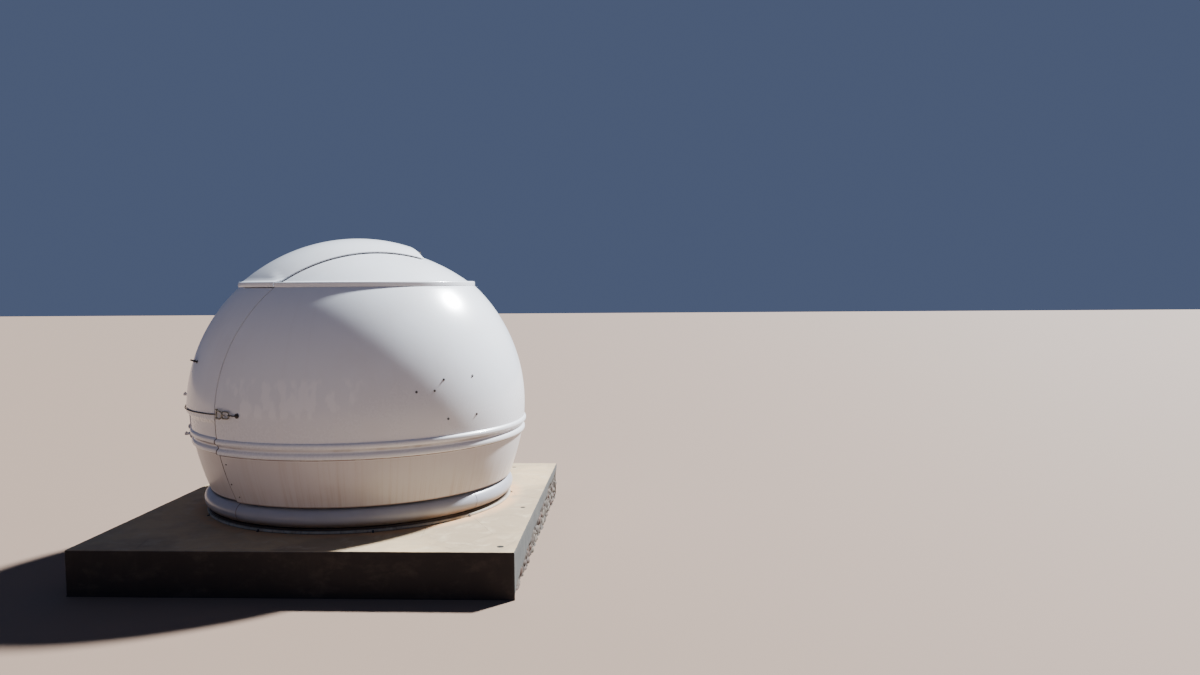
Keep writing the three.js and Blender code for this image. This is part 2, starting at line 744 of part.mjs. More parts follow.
// The cap's leaf is bedded on the cap's outer skin
function beddedCapLeaf(side) {
  const leaf = solid(geometryOf(capLeaf()).translate(HATCH_HINGE_X, side * HATCH_HINGE_Y, hatchHingeZ));
  return leaf.subtract(revolve([[0, LIP_TOP_Z], ...capArc(CAP_R + TOUCH)]));
}

function hatchLeaf() {
  const face = HATCH_REAR_X - TOUCH - HATCH_HINGE_X;
  const plate = block(face - 3, face, -30, 30, -17, -7);
  const ends = [[14.6, 30], [-30, -14.6]].flatMap(([y0, y1]) => [
    block(face - 3, face, y0, y1, -8, 2),
    knuckle(KNUCKLE_R, y0, y1),
  ]);
  return unite([plate, ...ends, knuckle(2.6, -31, 31)]);
}

function hatchHinges() {
  const group = new THREE.Group();
  [["right", 1], ["left", -1]].forEach(([place, side]) => {
    group.add(piece(`hatch_hinge_cap_leaf_${place}`, beddedCapLeaf(side), galvanized));
    const leaf = piece(`hatch_hinge_leaf_${place}`, hatchLeaf(), galvanized);
    leaf.position.set(HATCH_HINGE_X, side * HATCH_HINGE_Y, hatchHingeZ);
    group.add(leaf);
  });
  return group;
}

function dome() {
  const group = new THREE.Group();
  group.position.set(DOME_X, DOME_Y, PLINTH_HEIGHT);
  group.rotation.z = radians(DOOR_DIRECTION);
  addSegments(group, "skirt", revolve(skirtOutline(true)), gelCoat);
  addSegments(group, "shell", revolve(shellOutline()), gelCoat);
  group.add(cap());
  group.add(piece("hatch_coaming", hatchCoaming(), rawGlassFibre));
  group.add(piece("door_sill", doorSill(), rawGlassFibre));
  group.add(piece("door_stop_right", doorStop(1, STOP_RIGHT_REACH), rawGlassFibre));
  group.add(piece("door_stop_left", doorStop(-1, STOP_LEFT_REACH), rawGlassFibre));
  Object.entries(HINGE_HEIGHTS).forEach(([place, z]) => {
    group.add(piece(`door_hinge_bracket_${place}`, hingeBracket(z), galvanized));
  });
  group.add(piece("eye_bolt", eyeBolt(), darkSteel));
  group.add(piece("oval_link", link(), darkSteel));
  group.add(frontDoor());
  group.add(topHatch());
  group.add(hatchHinges());
  return group;
}

const observatory = new THREE.Group();
observatory.add(plinth());
observatory.add(baseRing());
observatory.add(dome());

export default observatory;
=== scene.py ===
"""Looks of a small rotating observatory dome on its concrete plinth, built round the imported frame."""

from math import asin, copysign, cos, pi, radians, sin, sqrt

import bmesh
import bpy
from bpy.props import FloatProperty, FloatVectorProperty, IntProperty, PointerProperty
from mathutils import Matrix, Quaternion, Vector, noise


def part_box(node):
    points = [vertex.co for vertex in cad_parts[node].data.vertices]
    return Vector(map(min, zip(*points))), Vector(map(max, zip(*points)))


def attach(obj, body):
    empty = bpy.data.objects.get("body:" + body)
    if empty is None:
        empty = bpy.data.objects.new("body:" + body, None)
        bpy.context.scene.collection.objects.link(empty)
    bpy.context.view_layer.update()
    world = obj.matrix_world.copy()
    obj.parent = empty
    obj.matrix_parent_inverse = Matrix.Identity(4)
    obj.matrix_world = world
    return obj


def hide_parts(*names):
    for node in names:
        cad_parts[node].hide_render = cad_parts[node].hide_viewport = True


bl_info = {
    "name": "Observatory dome",
    "version": (1, 0, 0),
    "blender": (4, 5, 0),
    "location": "View3D > Sidebar > Observatory",
    "description": "Builds the looks of a small rotating observatory dome round its frame",
    "category": "Object",
}

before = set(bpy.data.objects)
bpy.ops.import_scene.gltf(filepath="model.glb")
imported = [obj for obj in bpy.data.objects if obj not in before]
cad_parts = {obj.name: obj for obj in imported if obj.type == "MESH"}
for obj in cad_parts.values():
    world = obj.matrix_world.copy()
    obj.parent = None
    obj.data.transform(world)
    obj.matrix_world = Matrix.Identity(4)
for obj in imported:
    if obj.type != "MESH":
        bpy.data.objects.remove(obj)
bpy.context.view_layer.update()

# Where the dome stands, and the way that its door and the joints of its base ring face
DOME_AXIS = Vector((0.034, 0.099, 0.320))
DOOR_DIRECTION = radians(-143.2)
BASE_DIRECTION = radians(-120.7)
DOME = Matrix.Translation(DOME_AXIS) @ Matrix.Rotation(DOOR_DIRECTION, 4, "Z")
BASE = Matrix.Translation(DOME_AXIS) @ Matrix.Rotation(BASE_DIRECTION, 4, "Z")

# The dome's outline, as radius and height above the plinth, in metres
WALL_BOTTOM = (1.222, 0.189)
WALL_TOP = (1.322, 0.527)
WALL_BULGE = 0.028
TRACK_LOW = 0.252
TRACK_INNER = 1.042
RIB_CONTROLS = [
    (1.3245, 0.5390), (1.3258, 0.5450), (1.3285, 0.5490), (1.3345, 0.5505), (1.3410, 0.5530),
    (1.3460, 0.5580), (1.3487, 0.5650), (1.3490, 0.5740), (1.3478, 0.5820), (1.3445, 0.5890),
    (1.3400, 0.5945), (1.3360, 0.5985), (1.3342, 0.6035), (1.3350, 0.6090), (1.3378, 0.6150),
    (1.3415, 0.6210), (1.3465, 0.6260), (1.3530, 0.6305), (1.3580, 0.6365), (1.3600, 0.6460),
    (1.3592, 0.6550), (1.3560, 0.6625), (1.3510, 0.6672), (1.3475, 0.6695), (1.3447, 0.6720),
]
LIP_OUTLINE = [
    (0.905, 1.7576), (0.938, 1.7576), (0.9418, 1.7588), (0.9436, 1.7615), (0.9440, 1.7660),
    (0.9440, 1.7830), (0.9430, 1.7885), (0.9405, 1.7925), (0.9365, 1.7948), (0.9310, 1.7955),
    (0.9020, 1.7957), (0.8900, 1.7960), (0.8840, 1.7975), (0.8790, 1.8000), (0.8740, 1.8028),
]
HATCH_LIP = [
    (0.9200, 1.8010), (0.9320, 1.7992), (0.9400, 1.7975), (0.9445, 1.7945), (0.9466, 1.7900),
    (0.9470, 1.7840), (0.9470, 1.7650), (0.9462, 1.7612), (0.9435, 1.7588), (0.9390, 1.7581),
    (0.9100, 1.7581), (0.9080, 1.7600), (0.9060, 1.7880),
]
# Hatch: its rear edge, half its width, its rounded edge, the rise of its sides, its gap over the cap,
# the least height of its sides' foot, and the radii of its top and its inside at the front
HATCH_REAR = -0.372
HATCH_HALF = 0.452
HATCH_EDGE = 0.004
HATCH_RISE = 0.016
HATCH_HOVER = 0.007
HATCH_SIDES = 1.7915
HATCH_FRONT = 0.900
HATCH_INSIDE = 0.892
# Door: how far its wall and ribs lie back, and the heights between which that ends
DOOR_RECESS = 0.030
RECESS_STEP = (0.772, 0.808)
# Heights of the ribs' top, the seam under them, the groove between them and the end of the fine steps
RIBS_TOP = 0.672
UNDER_RIBS = 0.5495
BETWEEN_RIBS = 0.6180
FINE_TOP = 0.820
# Lining: the foot of its sphere, and its bend behind the ribs
LINING_FOOT = 0.667
LINING_BEND = (1.316, 0.573)
# Cap: the feet of its two faces, the ledge under the hatch, and the opening
CAP_FOOT = 1.8060
CAP_LINING_FOOT = 1.7775
LEDGE_TOP = 1.8005
LEDGE_HALF = 0.459
OPENING_HALF = 0.4003
OPENING_REAR = -0.3023

# Fittings on the dome's skin: degrees from the middle of the door, and height; also the wire rope's
# radius and how far its middle is held off the skin, and half the handle's length
SHELL_BOLTS = [
    (96.0, 1.0787), (107.5, 1.0868), (86.4, 1.0044), (92.4, 1.0044), (96.6, 0.7938), (107.8, 0.8019),
]
WALL_BOLTS = [(23.0, 0.484), (23.0, 0.332), (25.0, 0.237)]
LASHING_PLACE = (26.2, 0.852)
ROPE_TURNS = (19, -16.6)
ROPE_RADIUS = 0.0045
ROPE_LIFT = 0.008
HANDLE_PLACE = (-1.0, 1.200)
HANDLE_HALF = 0.046

# Base ring and foot: heights and radii, half the gap at a joint, and the clips' place, angles and outline
RING_BOTTOM = 0.0353
RING_TOP = 0.182
RING_OUTER = 1.239
RING_INNER = 1.050
FOOT_INNER = 1.100
RING_JOINT = 0.0008
CLIP_REACH = 1.2205
CLIP_TURNS = (9.9, 50.1, 86.7, 128, 170, 214, 255, 300, 335)
CLIP_OUTLINE = [
    (0.016, 0.0), (0.017, 0.0015), (0.016, 0.003), (0.0055, 0.0035), (0.0040, 0.005), (0.0035, 0.015),
    (0.002, 0.017), (0.0, 0.0165), (0.0, 0.0),
]

# Plinth: old anchor holes in its top as x, y and radius, what the relief of its rough sides stores,
# and where the three parts of the stones' warp are read from the noise
ANCHOR_HOLES = [(1.409, -1.399, 0.025), (1.420, -0.290, 0.021), (1.128, 1.331, 0.021)]
RELIEF_PARTS = ("mortar", "stones", "tint")
WARP_SHIFTS = [Vector((9.3, -1.5, -7.9)), Vector((0.0, 4.7, 2.2)), Vector((-5.1, 0.6, 6.4))]

# Studio: camera with its heading, pitch and roll in degrees, sunlight, sky and floor
CAMERA_PLACE = (2.370, -7.543, 2.081)
CAMERA_TURNS = (2.584, -3.268, -0.419)
CAMERA_LENS = 27.9
SUN_WAY = Vector((0.512, 0.525, 0.680))
SUN_STRENGTH = 20.5
SUN_TINT = (0.92, 0.965, 1.0)
SUN_SPREAD = 4
SKY_TINT = (0.42, 0.56, 1.0, 1)
SKY_STRENGTH = 0.185
FLOOR_REACH = 60.0
FLOOR_DROP = 0.0005


def length(name, default, text):
    """A length that a user may want to change."""
    return FloatProperty(name=name, default=default, subtype="DISTANCE", description=text)


def tone(name, default, text):
    """A colour that a user may want to change."""
    return FloatVectorProperty(name=name, default=default, subtype="COLOR", size=3, description=text)


class DomeSizes(bpy.types.PropertyGroup):
    """Sizes of the dome."""

    radius: length("Sphere radius", 1.350, "Outer radius of the large shell")
    centre: length("Sphere centre", 0.791, "Height of the sphere's centre above the plinth")
    thickness: length("Shell thickness", 0.010, "Thickness of the glass-fibre mouldings")
    slit_half: length("Half the slit", 0.466, "From the middle of the slit to the shell's edge")
    door_right: length("Door, right", 0.456, "From the middle of the slit to the door's closing edge")
    door_left: length("Door, left", 0.458, "From the middle of the slit to the door's hinged edge")
    door_top: length("Door top", 1.752, "Height of the door's top edge above the plinth")
    ridge: length("Ridge", 1.757, "Height of the shell's top edge above the plinth")
    cap_radius: length("Cap radius", 1.486, "Outer radius of the cap")
    cap_centre: length("Cap centre", 0.601, "Height of the cap's centre above the plinth")
    hatch_radius: length("Hatch radius", 1.361, "Outer radius of the hatch")
    turns: IntProperty(name="Steps round", default=200, min=48, max=360,
                       description="Steps round a full moulding")


class PlinthSizes(bpy.types.PropertyGroup):
    """Sizes of the plinth."""

    height: length("Height", 0.320, "Height of the plinth")
    screed: length("Screed", 0.045, "Thickness of the trowelled top layer")
    rubble: length("Rubble relief", 0.030, "Depth of the joints between the stones")
    step: length("Relief step", 0.0125, "Size of a face on the rough sides")


class DomeColours(bpy.types.PropertyGroup):
    """Colours of the finishes."""

    gel: tone("Gel coat", (0.77, 0.795, 0.84), "Clean gel coat")
    # Also the colour of the painted shade on the wall under the ribs and low on the sphere.
    dust_and_shade: tone("Dust", (0.42, 0.31, 0.235), "Dried dust and brown streaks on the gel coat")
    # Also the colour of the painted shade under and between the ribs and along the wall's foot.
    rust: tone("Rust", (0.13, 0.050, 0.020), "Rust in the joints and under the bolts")
    cement: tone("Cement", (0.47, 0.34, 0.190), "Trowelled top of the plinth")
    # Near black: the mortar's colour darkened as painted shade on the rough sides.
    mortar: tone("Mortar", (0.045, 0.046, 0.044), "Blue-grey mortar along the rough sides' edges")
    # Partly painted shade: a little darker than the ring's own blue-grey.
    ring: tone("Base ring", (0.37, 0.37, 0.41), "Gel coat of the base ring")
    # Near black: the cast sides' stained colour darkened as painted shade.
    cast: tone("Cast side", (0.024, 0.017, 0.014), "Dark stained cast sides of the plinth")
    floor: tone("Floor", (0.205, 0.140, 0.102), "Plain studio floor")


def shader_maths(operation, swapped=False):
    """A method of Wire that adds one math node."""
    def method(self, *others):
        values = (*others, self) if swapped else (self, *others)
        return self.finish.node("ShaderNodeMath", {"operation": operation}, dict(enumerate(values)))
    return method


class Wire:
    """A shader socket that takes part in Python arithmetic."""

    def __init__(self, finish, socket):
        self.finish = finish
        self.socket = socket

    __add__ = __radd__ = shader_maths("ADD")
    __sub__ = shader_maths("SUBTRACT")
    __rsub__ = shader_maths("SUBTRACT", swapped=True)
    __mul__ = __rmul__ = shader_maths("MULTIPLY")
    __truediv__ = shader_maths("DIVIDE")
    __pow__ = shader_maths("POWER")
    __abs__ = shader_maths("ABSOLUTE")
    arctan2 = shader_maths("ARCTAN2")
    least = shader_maths("MINIMUM")
    most = shader_maths("MAXIMUM")


class Finish:
    """One procedural material, put together node by node."""

    def __init__(self, name):
        self.material = bpy.data.materials.new(name)
        self.material.use_nodes = True
        self.tree = self.material.node_tree
        self.tree.nodes.clear()

    def add(self, kind, settings=None, values=None):
        """Adds a node, sets it up and joins its sockets."""
        made = self.tree.nodes.new(kind)
        for key, value in (settings or {}).items():
            setattr(made, key, value)
        for key, value in (values or {}).items():
            if isinstance(value, Wire):
                self.tree.links.new(value.socket, made.inputs[key])
            else:
                made.inputs[key].default_value = value
        return made

    def node(self, kind, settings=None, values=None, out=0):
        return Wire(self, self.add(kind, settings, values).outputs[out])

    def place(self):
        """Where a point lies in the row frame."""
        return self.node("ShaderNodeTexCoord", out="Object")

    def local(self, direction):
        """Where a point lies from the dome's axis, with X along a direction."""
        turn = Matrix.Rotation(-direction, 4, "Z")
        return self.node("ShaderNodeMapping", {"vector_type": "POINT"}, {
            "Vector": self.place(),
            "Location": -(turn @ DOME_AXIS),
            "Rotation": (0, 0, -direction),
        })

    def stretch(self, vector, scale):
        return self.node("ShaderNodeVectorMath", {"operation": "MULTIPLY"}, {0: vector, 1: scale})

    def parts(self, vector):
        split = self.add("ShaderNodeSeparateXYZ", None, {0: vector})
        return [Wire(self, socket) for socket in split.outputs]

    def noise(self, vector, scale, detail, roughness, distortion=0.0):
        return self.node("ShaderNodeTexNoise", None, {
            "Vector": vector, "Scale": scale, "Detail": detail, "Roughness": roughness,
            "Distortion": distortion,
        })

    def grain(self, vector, scale, detail, roughness, distortion=0.0):
        """Noise with a scale of its own along each axis."""
        return self.noise(self.stretch(vector, scale), 1.0, detail, roughness, distortion)

    def stains(self, shade, *layers):
        """Colours over a shade: each a value, the ends it fades in between, a share and a colour."""
        for value, ends, share, over in layers:
            shade = self.mix(self.fade(value, *ends) * share, shade, over)
        return shade

    def fade(self, value, low, high):
        """0 below low and 1 above high, with a soft step between, either way round."""
        return self.node("ShaderNodeMapRange", {"interpolation_type": "SMOOTHSTEP"},
                         {"Value": value, "From Min": low, "From Max": high})

    def mix(self, share, first, second):
        ends = [value if isinstance(value, Wire) else (*value, 1) for value in (first, second)]
        return self.node("ShaderNodeMix", {"data_type": "RGBA"}, {0: share, 6: ends[0], 7: ends[1]}, 2)

    def finish(self, colour, roughness, relief=(), **constants):
        """Joins the shader; relief is a height, the distance that it stands for and its strength."""
        values = {"Base Color": colour, "Roughness": roughness}
        if relief:
            sockets = ("Height", "Distance", "Strength")
            values["Normal"] = self.node("ShaderNodeBump", None, dict(zip(sockets, relief)))
        values.update({key.replace("_", " "): value for key, value in constants.items()})
        shader = self.node("ShaderNodeBsdfPrincipled", None, values)
        self.add("ShaderNodeOutputMaterial", None, {0: shader})
        return self.material


def sizes():
    return bpy.context.scene.dome_sizes


def colour(name):
    return tuple(getattr(bpy.context.scene.dome_colours, name))


# Mesh helpers

def spline(controls, steps):
    """Points along a smooth line through the controls, with a number of steps between each two."""
    points = [Vector(c) for c in controls]
    line = []
    for i in range(len(points) - 1):
        before = points[max(i - 1, 0)]
        a, b = points[i], points[i + 1]
        after = points[min(i + 2, len(points) - 1)]
        for k in range(steps):
            t = k / steps
            line.append(0.5 * (2 * a + (b - before) * t + (2 * before - 5 * a + 4 * b - after) * t ** 2
                               + (3 * a - before - 3 * b + after) * t ** 3))
    line.append(points[-1])
    return line


def spread(first, last, steps):
    return [first + (last - first) * i / steps for i in range(steps + 1)]


def wall_radius(z):
    along = (z - WALL_BOTTOM[1]) / (WALL_TOP[1] - WALL_BOTTOM[1])
    return WALL_BOTTOM[0] + (WALL_TOP[0] - WALL_BOTTOM[0]) * along + WALL_BULGE * along * (1 - along)


def sphere_radius(z, radius):
    return sqrt(max(radius ** 2 - (z - sizes().centre) ** 2, 0))


def sphere_height(radius, centre, x, y):
    return centre + sqrt(radius ** 2 - x ** 2 - y ** 2)


def sphere_arc(radius, low, high, steps, centre=None):
    """Outline points of a sphere round a centre on the axis, evenly spaced by angle."""
    if centre is None:
        centre = sizes().centre
    turns = [asin(min(max((z - centre) / radius, -1), 1)) for z in (low, high)]
    return [(radius * cos(a), centre + radius * sin(a)) for a in spread(*turns, steps)]


def bands(rings, around, start=0, closed=False):
    """Faces between rings of points, and an end face on the first and last ring of an open row."""
    faces = []
    for i in range(rings if closed else rings - 1):
        here, there = start + i * around, start + (i + 1) % rings * around
        for k in range(around):
            n = (k + 1) % around
            faces.append((here + k, there + k, there + n, here + n))
    if not closed:
        last = start + (rings - 1) * around
        faces += [tuple(range(start, start + around)), tuple(range(last, last + around))]
    return faces


def add_object(name, data):
    made = bpy.data.objects.new(name, data)
    bpy.context.collection.objects.link(made)
    return made


def add_mesh(name, points, faces, body, place=Matrix.Identity(4), sharp=35, inside=None):
    """A piece from points and faces, smooth except at sharp corners, riding on a body."""
    mesh = bpy.data.meshes.new(name)
    mesh.from_pydata([place @ Vector(p) for p in points], [], faces)
    if inside is not None:
        mesh.polygons.foreach_set("material_index", inside)
    shape = bmesh.new()
    shape.from_mesh(mesh)
    bmesh.ops.recalc_face_normals(shape, faces=shape.faces)
    shape.to_mesh(mesh)
    shape.free()
    mesh.shade_smooth()
    mesh.set_sharp_from_angle(angle=radians(sharp))
    piece = add_object(name, mesh)
    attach(piece, body)
    return piece


def sweep(name, outline, span, steps, body, place, inner=()):
    """A closed outline of (radius, height) points turned round the axis between two angles.

    span(radius) gives the first and last angle at that radius. A full turn has no ends.
    inner is the range of outline points whose faces get the second material."""
    full = span is None
    rows = steps if full else steps + 1
    points = []
    for i in range(rows):
        for r, z in outline:
            first, last = (0, 2 * pi) if full else span(r)
            a = first + (last - first) * i / steps
            points.append((r * cos(a), r * sin(a), z))
    faces = bands(rows, len(outline), closed=full)
    second = [int(k in inner) for k in range(len(outline))] * steps + [0, 0] * (not full)
    return add_mesh(name, points, faces, body, place, inside=second)


def finish_piece(piece, names, replaced=()):
    for name in names:
        piece.data.materials.append(finish_of(name))
    if replaced:
        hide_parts(*replaced)


def soften(piece, width):
    """A small rounded edge on every sharp corner."""
    bevel = piece.modifiers.new("Rounded edges", "BEVEL")
    bevel.width = width
    bevel.segments = 2
    bevel.limit_method = "ANGLE"
    bevel.angle_limit = radians(50)


def carve(piece, boxes):
    """Cuts boxes, each given by its low and high corner, out of a piece."""
    for box in boxes:
        ends = list(zip(*box))
        mesh = bpy.data.meshes.new("Cutter")
        faces = [(0, 1, 3, 2), (4, 6, 7, 5), (0, 4, 5, 1), (2, 3, 7, 6), (0, 2, 6, 4), (1, 5, 7, 3)]
        mesh.from_pydata([(x, y, z) for x in ends[0] for y in ends[1] for z in ends[2]], [], faces)
        cutter = add_object("Cutter", mesh)
        cut = piece.modifiers.new("Cut", "BOOLEAN")
        cut.operation = "DIFFERENCE"
        cut.object = cutter
        cut.solver = "EXACT"
        bpy.context.view_layer.update()
        carved = piece.evaluated_get(bpy.context.evaluated_depsgraph_get())
        shape = bpy.data.meshes.new_from_object(carved)
        piece.modifiers.clear()
        piece.data = shape
        bpy.data.objects.remove(cutter)
    piece.data.set_sharp_from_angle(angle=radians(30))


def tube(name, route, radius, body, place, sides=14, lobes=0, pitch=0.05, closed=False,
         metal="dark", replaced=()):
    """A round steel bar along a route, or with lobes a wire rope of that many strands."""
    line = [Vector(p) for p in route]
    count = len(line)
    up = Vector((0, 0, 1))
    points = []
    travelled = 0.0
    for i, centre in enumerate(line):
        ahead = line[(i + 1) % count if closed else min(i + 1, count - 1)]
        behind = line[(i - 1) % count if closed else max(i - 1, 0)]
        along = (ahead - behind).normalized()
        side = along.cross(up)
        if side.length < 0.05:
            side = along.cross(Vector((0, 1, 0)))
        side.normalize()
        up = side.cross(along).normalized()
        if i:
            travelled += (centre - line[i - 1]).length
        twist = 2 * pi * travelled / pitch if lobes else 0
        for k in range(sides):
            a = 2 * pi * k / sides
            r = radius * (0.86 + 0.14 * abs(cos(lobes * a / 2))) if lobes else radius
            points.append(centre + side * r * cos(a + twist) + up * r * sin(a + twist))
    bar = add_mesh(name, points, bands(count, sides, closed=closed), body, place, 50)
    finish_piece(bar, [metal], replaced)


def turned(parts):
    """Points and faces of turned shapes, each a frame, an outline of (radius, height) and its sides."""
    points, faces = [], []
    for place, outline, sides in parts:
        faces += bands(len(outline), sides, len(points))
        for r, z in outline:
            for k in range(sides):
                a = 2 * pi * k / sides
                points.append(place @ Vector((r * cos(a), r * sin(a), z)))
    return points, faces


def add_turned(name, parts, body, place=Matrix.Identity(4), metal="dark"):
    piece = add_mesh(name, *turned(parts), body, place, 30)
    finish_piece(piece, [metal])


def bolt_parts(place, across, head, sides=20):
    """A washer and a hexagon head with a chamfered top, on a frame whose Z points out."""
    rim, corner = across * 0.95, across / sqrt(3)
    washer = [(rim, -0.004), (rim, 0.0012), (across * 0.90, 0.0018), (across * 0.4, 0.0018)]
    hexagon = [(corner, 0.0005), (corner, head * 0.8), (corner * 0.86, head), (corner * 0.3, head)]
    return [(place, washer, sides), (place, hexagon, 6)]


def skin_frame(angle, z):
    """A frame on the dome's skin, in the dome's frame: X to the right, Y up the skin, Z out of it."""
    turn = radians(angle)
    if z > RIBS_TOP:
        radius, centre = sizes().radius, sizes().centre
        lift = asin((z - centre) / radius)
        out = Vector((cos(lift) * cos(turn), cos(lift) * sin(turn), sin(lift)))
        place = out * radius + Vector((0, 0, centre))
    else:
        slope = (wall_radius(z + 0.01) - wall_radius(z - 0.01)) / 0.02
        out = Vector((cos(turn), sin(turn), -slope)).normalized()
        place = Vector((wall_radius(z) * cos(turn), wall_radius(z) * sin(turn), z))
    right = Vector((-sin(turn), cos(turn), 0))
    basis = Matrix((right, out.cross(right), out)).transposed().to_4x4()
    return Matrix.Translation(place) @ basis


# Finishes

def gel_coat():
    """White gel coat with a film of grime, brown streaks below the ribs and rust in the joints; painted
    shade under and between the ribs, at the wall's foot, on the wall and low on the sphere, and a painted
    reflection in pale patches.
    """
    paint = Finish("Gel coat, dome")
    place = paint.local(DOOR_DIRECTION)
    x, y, z = paint.parts(place)
    angle = y.arctan2(x)
    reach = (x * x + y * y) ** 0.5
    around = paint.node("ShaderNodeCombineXYZ", None, {0: x / reach, 1: y / reach, 2: z})
    cloud = paint.noise(place, 1.7, 5, 0.6)
    streak = paint.grain(around, (22, 22, 0.5), 4, 0.65)
    thin = paint.grain(around, (80, 80, 1.5), 3, 0.6)

    # The wall and the sphere's lower part are darkened and browned: partly grime, partly painted shade
    # for the shadow under the ribs and the weak light from below.
    wall = 1 - paint.fade(z, 0.530, 0.560)
    dust_and_shade_share = paint.fade(cloud, 0.42, 0.75) * 0.10 + paint.fade(z, 1.25, 0.70) * 0.12 + wall * 0.345
    runs = paint.fade(streak, 0.50, 0.74) * (0.03 + 0.075 * wall)
    runs = runs + paint.fade(thin, 0.52, 0.78) * wall * 0.10
    towards_bottom = paint.fade(z, 0.42, 0.20) * wall * (0.05 + 0.11 * paint.fade(thin, 0.42, 0.70))
    dirt_and_painted_light = (dust_and_shade_share + runs + towards_bottom).least(0.85)
    shade = paint.mix(dirt_and_painted_light, colour("gel"), colour("dust_and_shade"))

    # Pale patches low on the shell: a painted reflection.
    reflection_area = paint.fade(abs(z - 0.975), 0.160, 0.110) * paint.fade(abs(angle - 0.82), 0.46, 0.36)
    painted_reflection = reflection_area * paint.fade(paint.grain(place, (12, 12, 6), 2, 0.5), 0.46, 0.60)
    shade = paint.mix(painted_reflection * 0.38, shade, (0.95, 0.95, 0.96))

    # Painted shade, in the rust colour and partly grime: along the crease under the lower rib, in the
    # groove between the ribs, and along the wall's foot over the gap to the base ring.
    broken = paint.fade(paint.noise(place, 9, 4, 0.7), 0.30, 0.52)
    under_rib = paint.fade(abs(z - UNDER_RIBS), 0.0060, 0.0030) * (0.50 + 0.45 * broken)
    patches = 0.22 + 0.35 * paint.fade(cloud, 0.45, 0.60)
    groove = paint.fade(abs(z - BETWEEN_RIBS), 0.0130, 0.0040) * patches
    bottom = paint.fade(z, 0.2010, 0.1900) * paint.fade(z, 0.150, 0.188)

    jagged = paint.grain(place, (13, 13, 31.2), 4, 0.7)
    below_lashing = paint.fade(z, 0.86, 0.80)
    across_ribs = paint.fade(z, 0.700, 0.665) * paint.fade(z, 0.520, 0.555)
    line = (0.0015 + 0.0055 * below_lashing + 0.0045 * across_ribs) * (0.3 + 1.4 * jagged)
    slit = sizes().slit_half
    near_slit = paint.fade(abs(y) - slit - line, 0.0030, -0.0010)
    on_shell = paint.fade(abs(y), slit + 0.0001, slit + 0.0006)
    edge = near_slit * on_shell * paint.fade(x, 0, 0.2) * paint.fade(z, 1.765, 1.74)
    strength = 0.38 + 0.55 * below_lashing - 0.50 * paint.fade(z, 0.50, 0.30)
    sealed = edge * strength * paint.fade(jagged, 0.22, 0.36)

    # Rust at the bolts and dark seams beside the slit, together with the painted shade above, all laid on
    # in the rust colour.
    rust_and_shade = under_rib.most(groove).most(bottom * 0.8).most(sealed)
    for turn, height in SHELL_BOLTS:
        beside = paint.fade(abs(angle - radians(turn)), 0.0055, 0.0015)
        below = paint.fade(z, height - 0.060, height - 0.004) * paint.fade(z, height + 0.004, height)
        rust_and_shade = rust_and_shade + beside * below * paint.fade(thin, 0.30, 0.6) * 0.12
    shade = paint.mix(rust_and_shade.least(0.9), shade, colour("rust"))
    shade = paint.mix(sealed * below_lashing * 0.75, shade, (0.030, 0.019, 0.015))
    rough = 0.20 + 0.35 * dirt_and_painted_light + 0.06 * paint.noise(place, 55, 3, 0.6) + 0.40 * rust_and_shade.least(1.0)
    relief = paint.noise(place, 3.1, 2, 0.5) + 0.012 * paint.noise(place, 240, 2, 0.5)
    return paint.finish(shade, rough, (relief, 0.0016, 0.6),
                        Coat_Weight=0.30, Coat_Roughness=0.10, IOR=1.5)


def ring_coat():
    """Blue-grey gel coat of the base ring, with a painted reflection of the ground in brown along its
    lower third, painted shade along its top under the wall, and dark at its joints.
    """
    paint = Finish("Gel coat, base ring")
    place = paint.local(BASE_DIRECTION)
    x, y, z = paint.parts(place)
    thin = paint.grain(place, (42, 42, 4), 4, 0.7)
    clouded = paint.fade(paint.noise(place, 3.4, 5, 0.6), 0.40, 0.72) * 0.18
    # Brown along the lower third: a painted reflection of the ground.
    towards_bottom = paint.fade(z, 0.098, 0.056) * (0.62 + 0.40 * thin)
    # Darker along the top, under the wall's foot: painted shade.
    dirt_and_painted_light = clouded + towards_bottom + paint.fade(z, 0.176, 0.181) * 0.5
    shade = paint.mix(dirt_and_painted_light.least(0.95), colour("ring"), (0.185, 0.130, 0.090))
    rust = paint.fade(z, 0.044, 0.036) * paint.fade(paint.noise(place, 21, 4, 0.7), 0.36, 0.58)
    joint = paint.fade(abs(y), 0.006, 0.001).most(paint.fade(abs(x), 0.006, 0.001) * 0.12)
    rust = rust.most(joint * 0.8)
    shade = paint.mix(rust, shade, colour("rust"))
    rough = 0.30 + 0.40 * dirt_and_painted_light + 0.2 * rust
    return paint.finish(shade, rough, (paint.noise(place, 90, 3, 0.6), 0.0006, 0.5),
                        Coat_Weight=0.15, Coat_Roughness=0.12)


def foot_coat():
    """The cream foot under the base ring, stained with rust and spattered cement, with painted shade
    along its bottom edge and on its recessed top under the ring.
    """
    paint = Finish("Stained foot ring")
    place = paint.local(BASE_DIRECTION)
    z = paint.parts(place)[2]
    cloud = paint.noise(place, 12, 5, 0.65)
    spots = paint.grain(place, (30, 30, 8), 5, 0.7)
    shade = paint.stains((0.47, 0.42, 0.34), (cloud, (0.35, 0.70), 1, (0.33, 0.27, 0.20)))
    # Painted shade, partly grime: the contact shadow along the bottom edge, and the recess under the ring
    # along the top, laid on with the rust.
    edges = paint.fade(z, 0.0050, 0.0020) * 0.8 + paint.fade(z, 0.0195, 0.0215)
    rust = paint.fade(spots, 0.52, 0.72) * 0.6 + edges
    shade = paint.mix(rust.least(0.95), shade, (0.045, 0.028, 0.020))
    return paint.finish(shade, 0.6 + 0.3 * rust, (cloud + 0.3 * spots, 0.0015, 0.8))


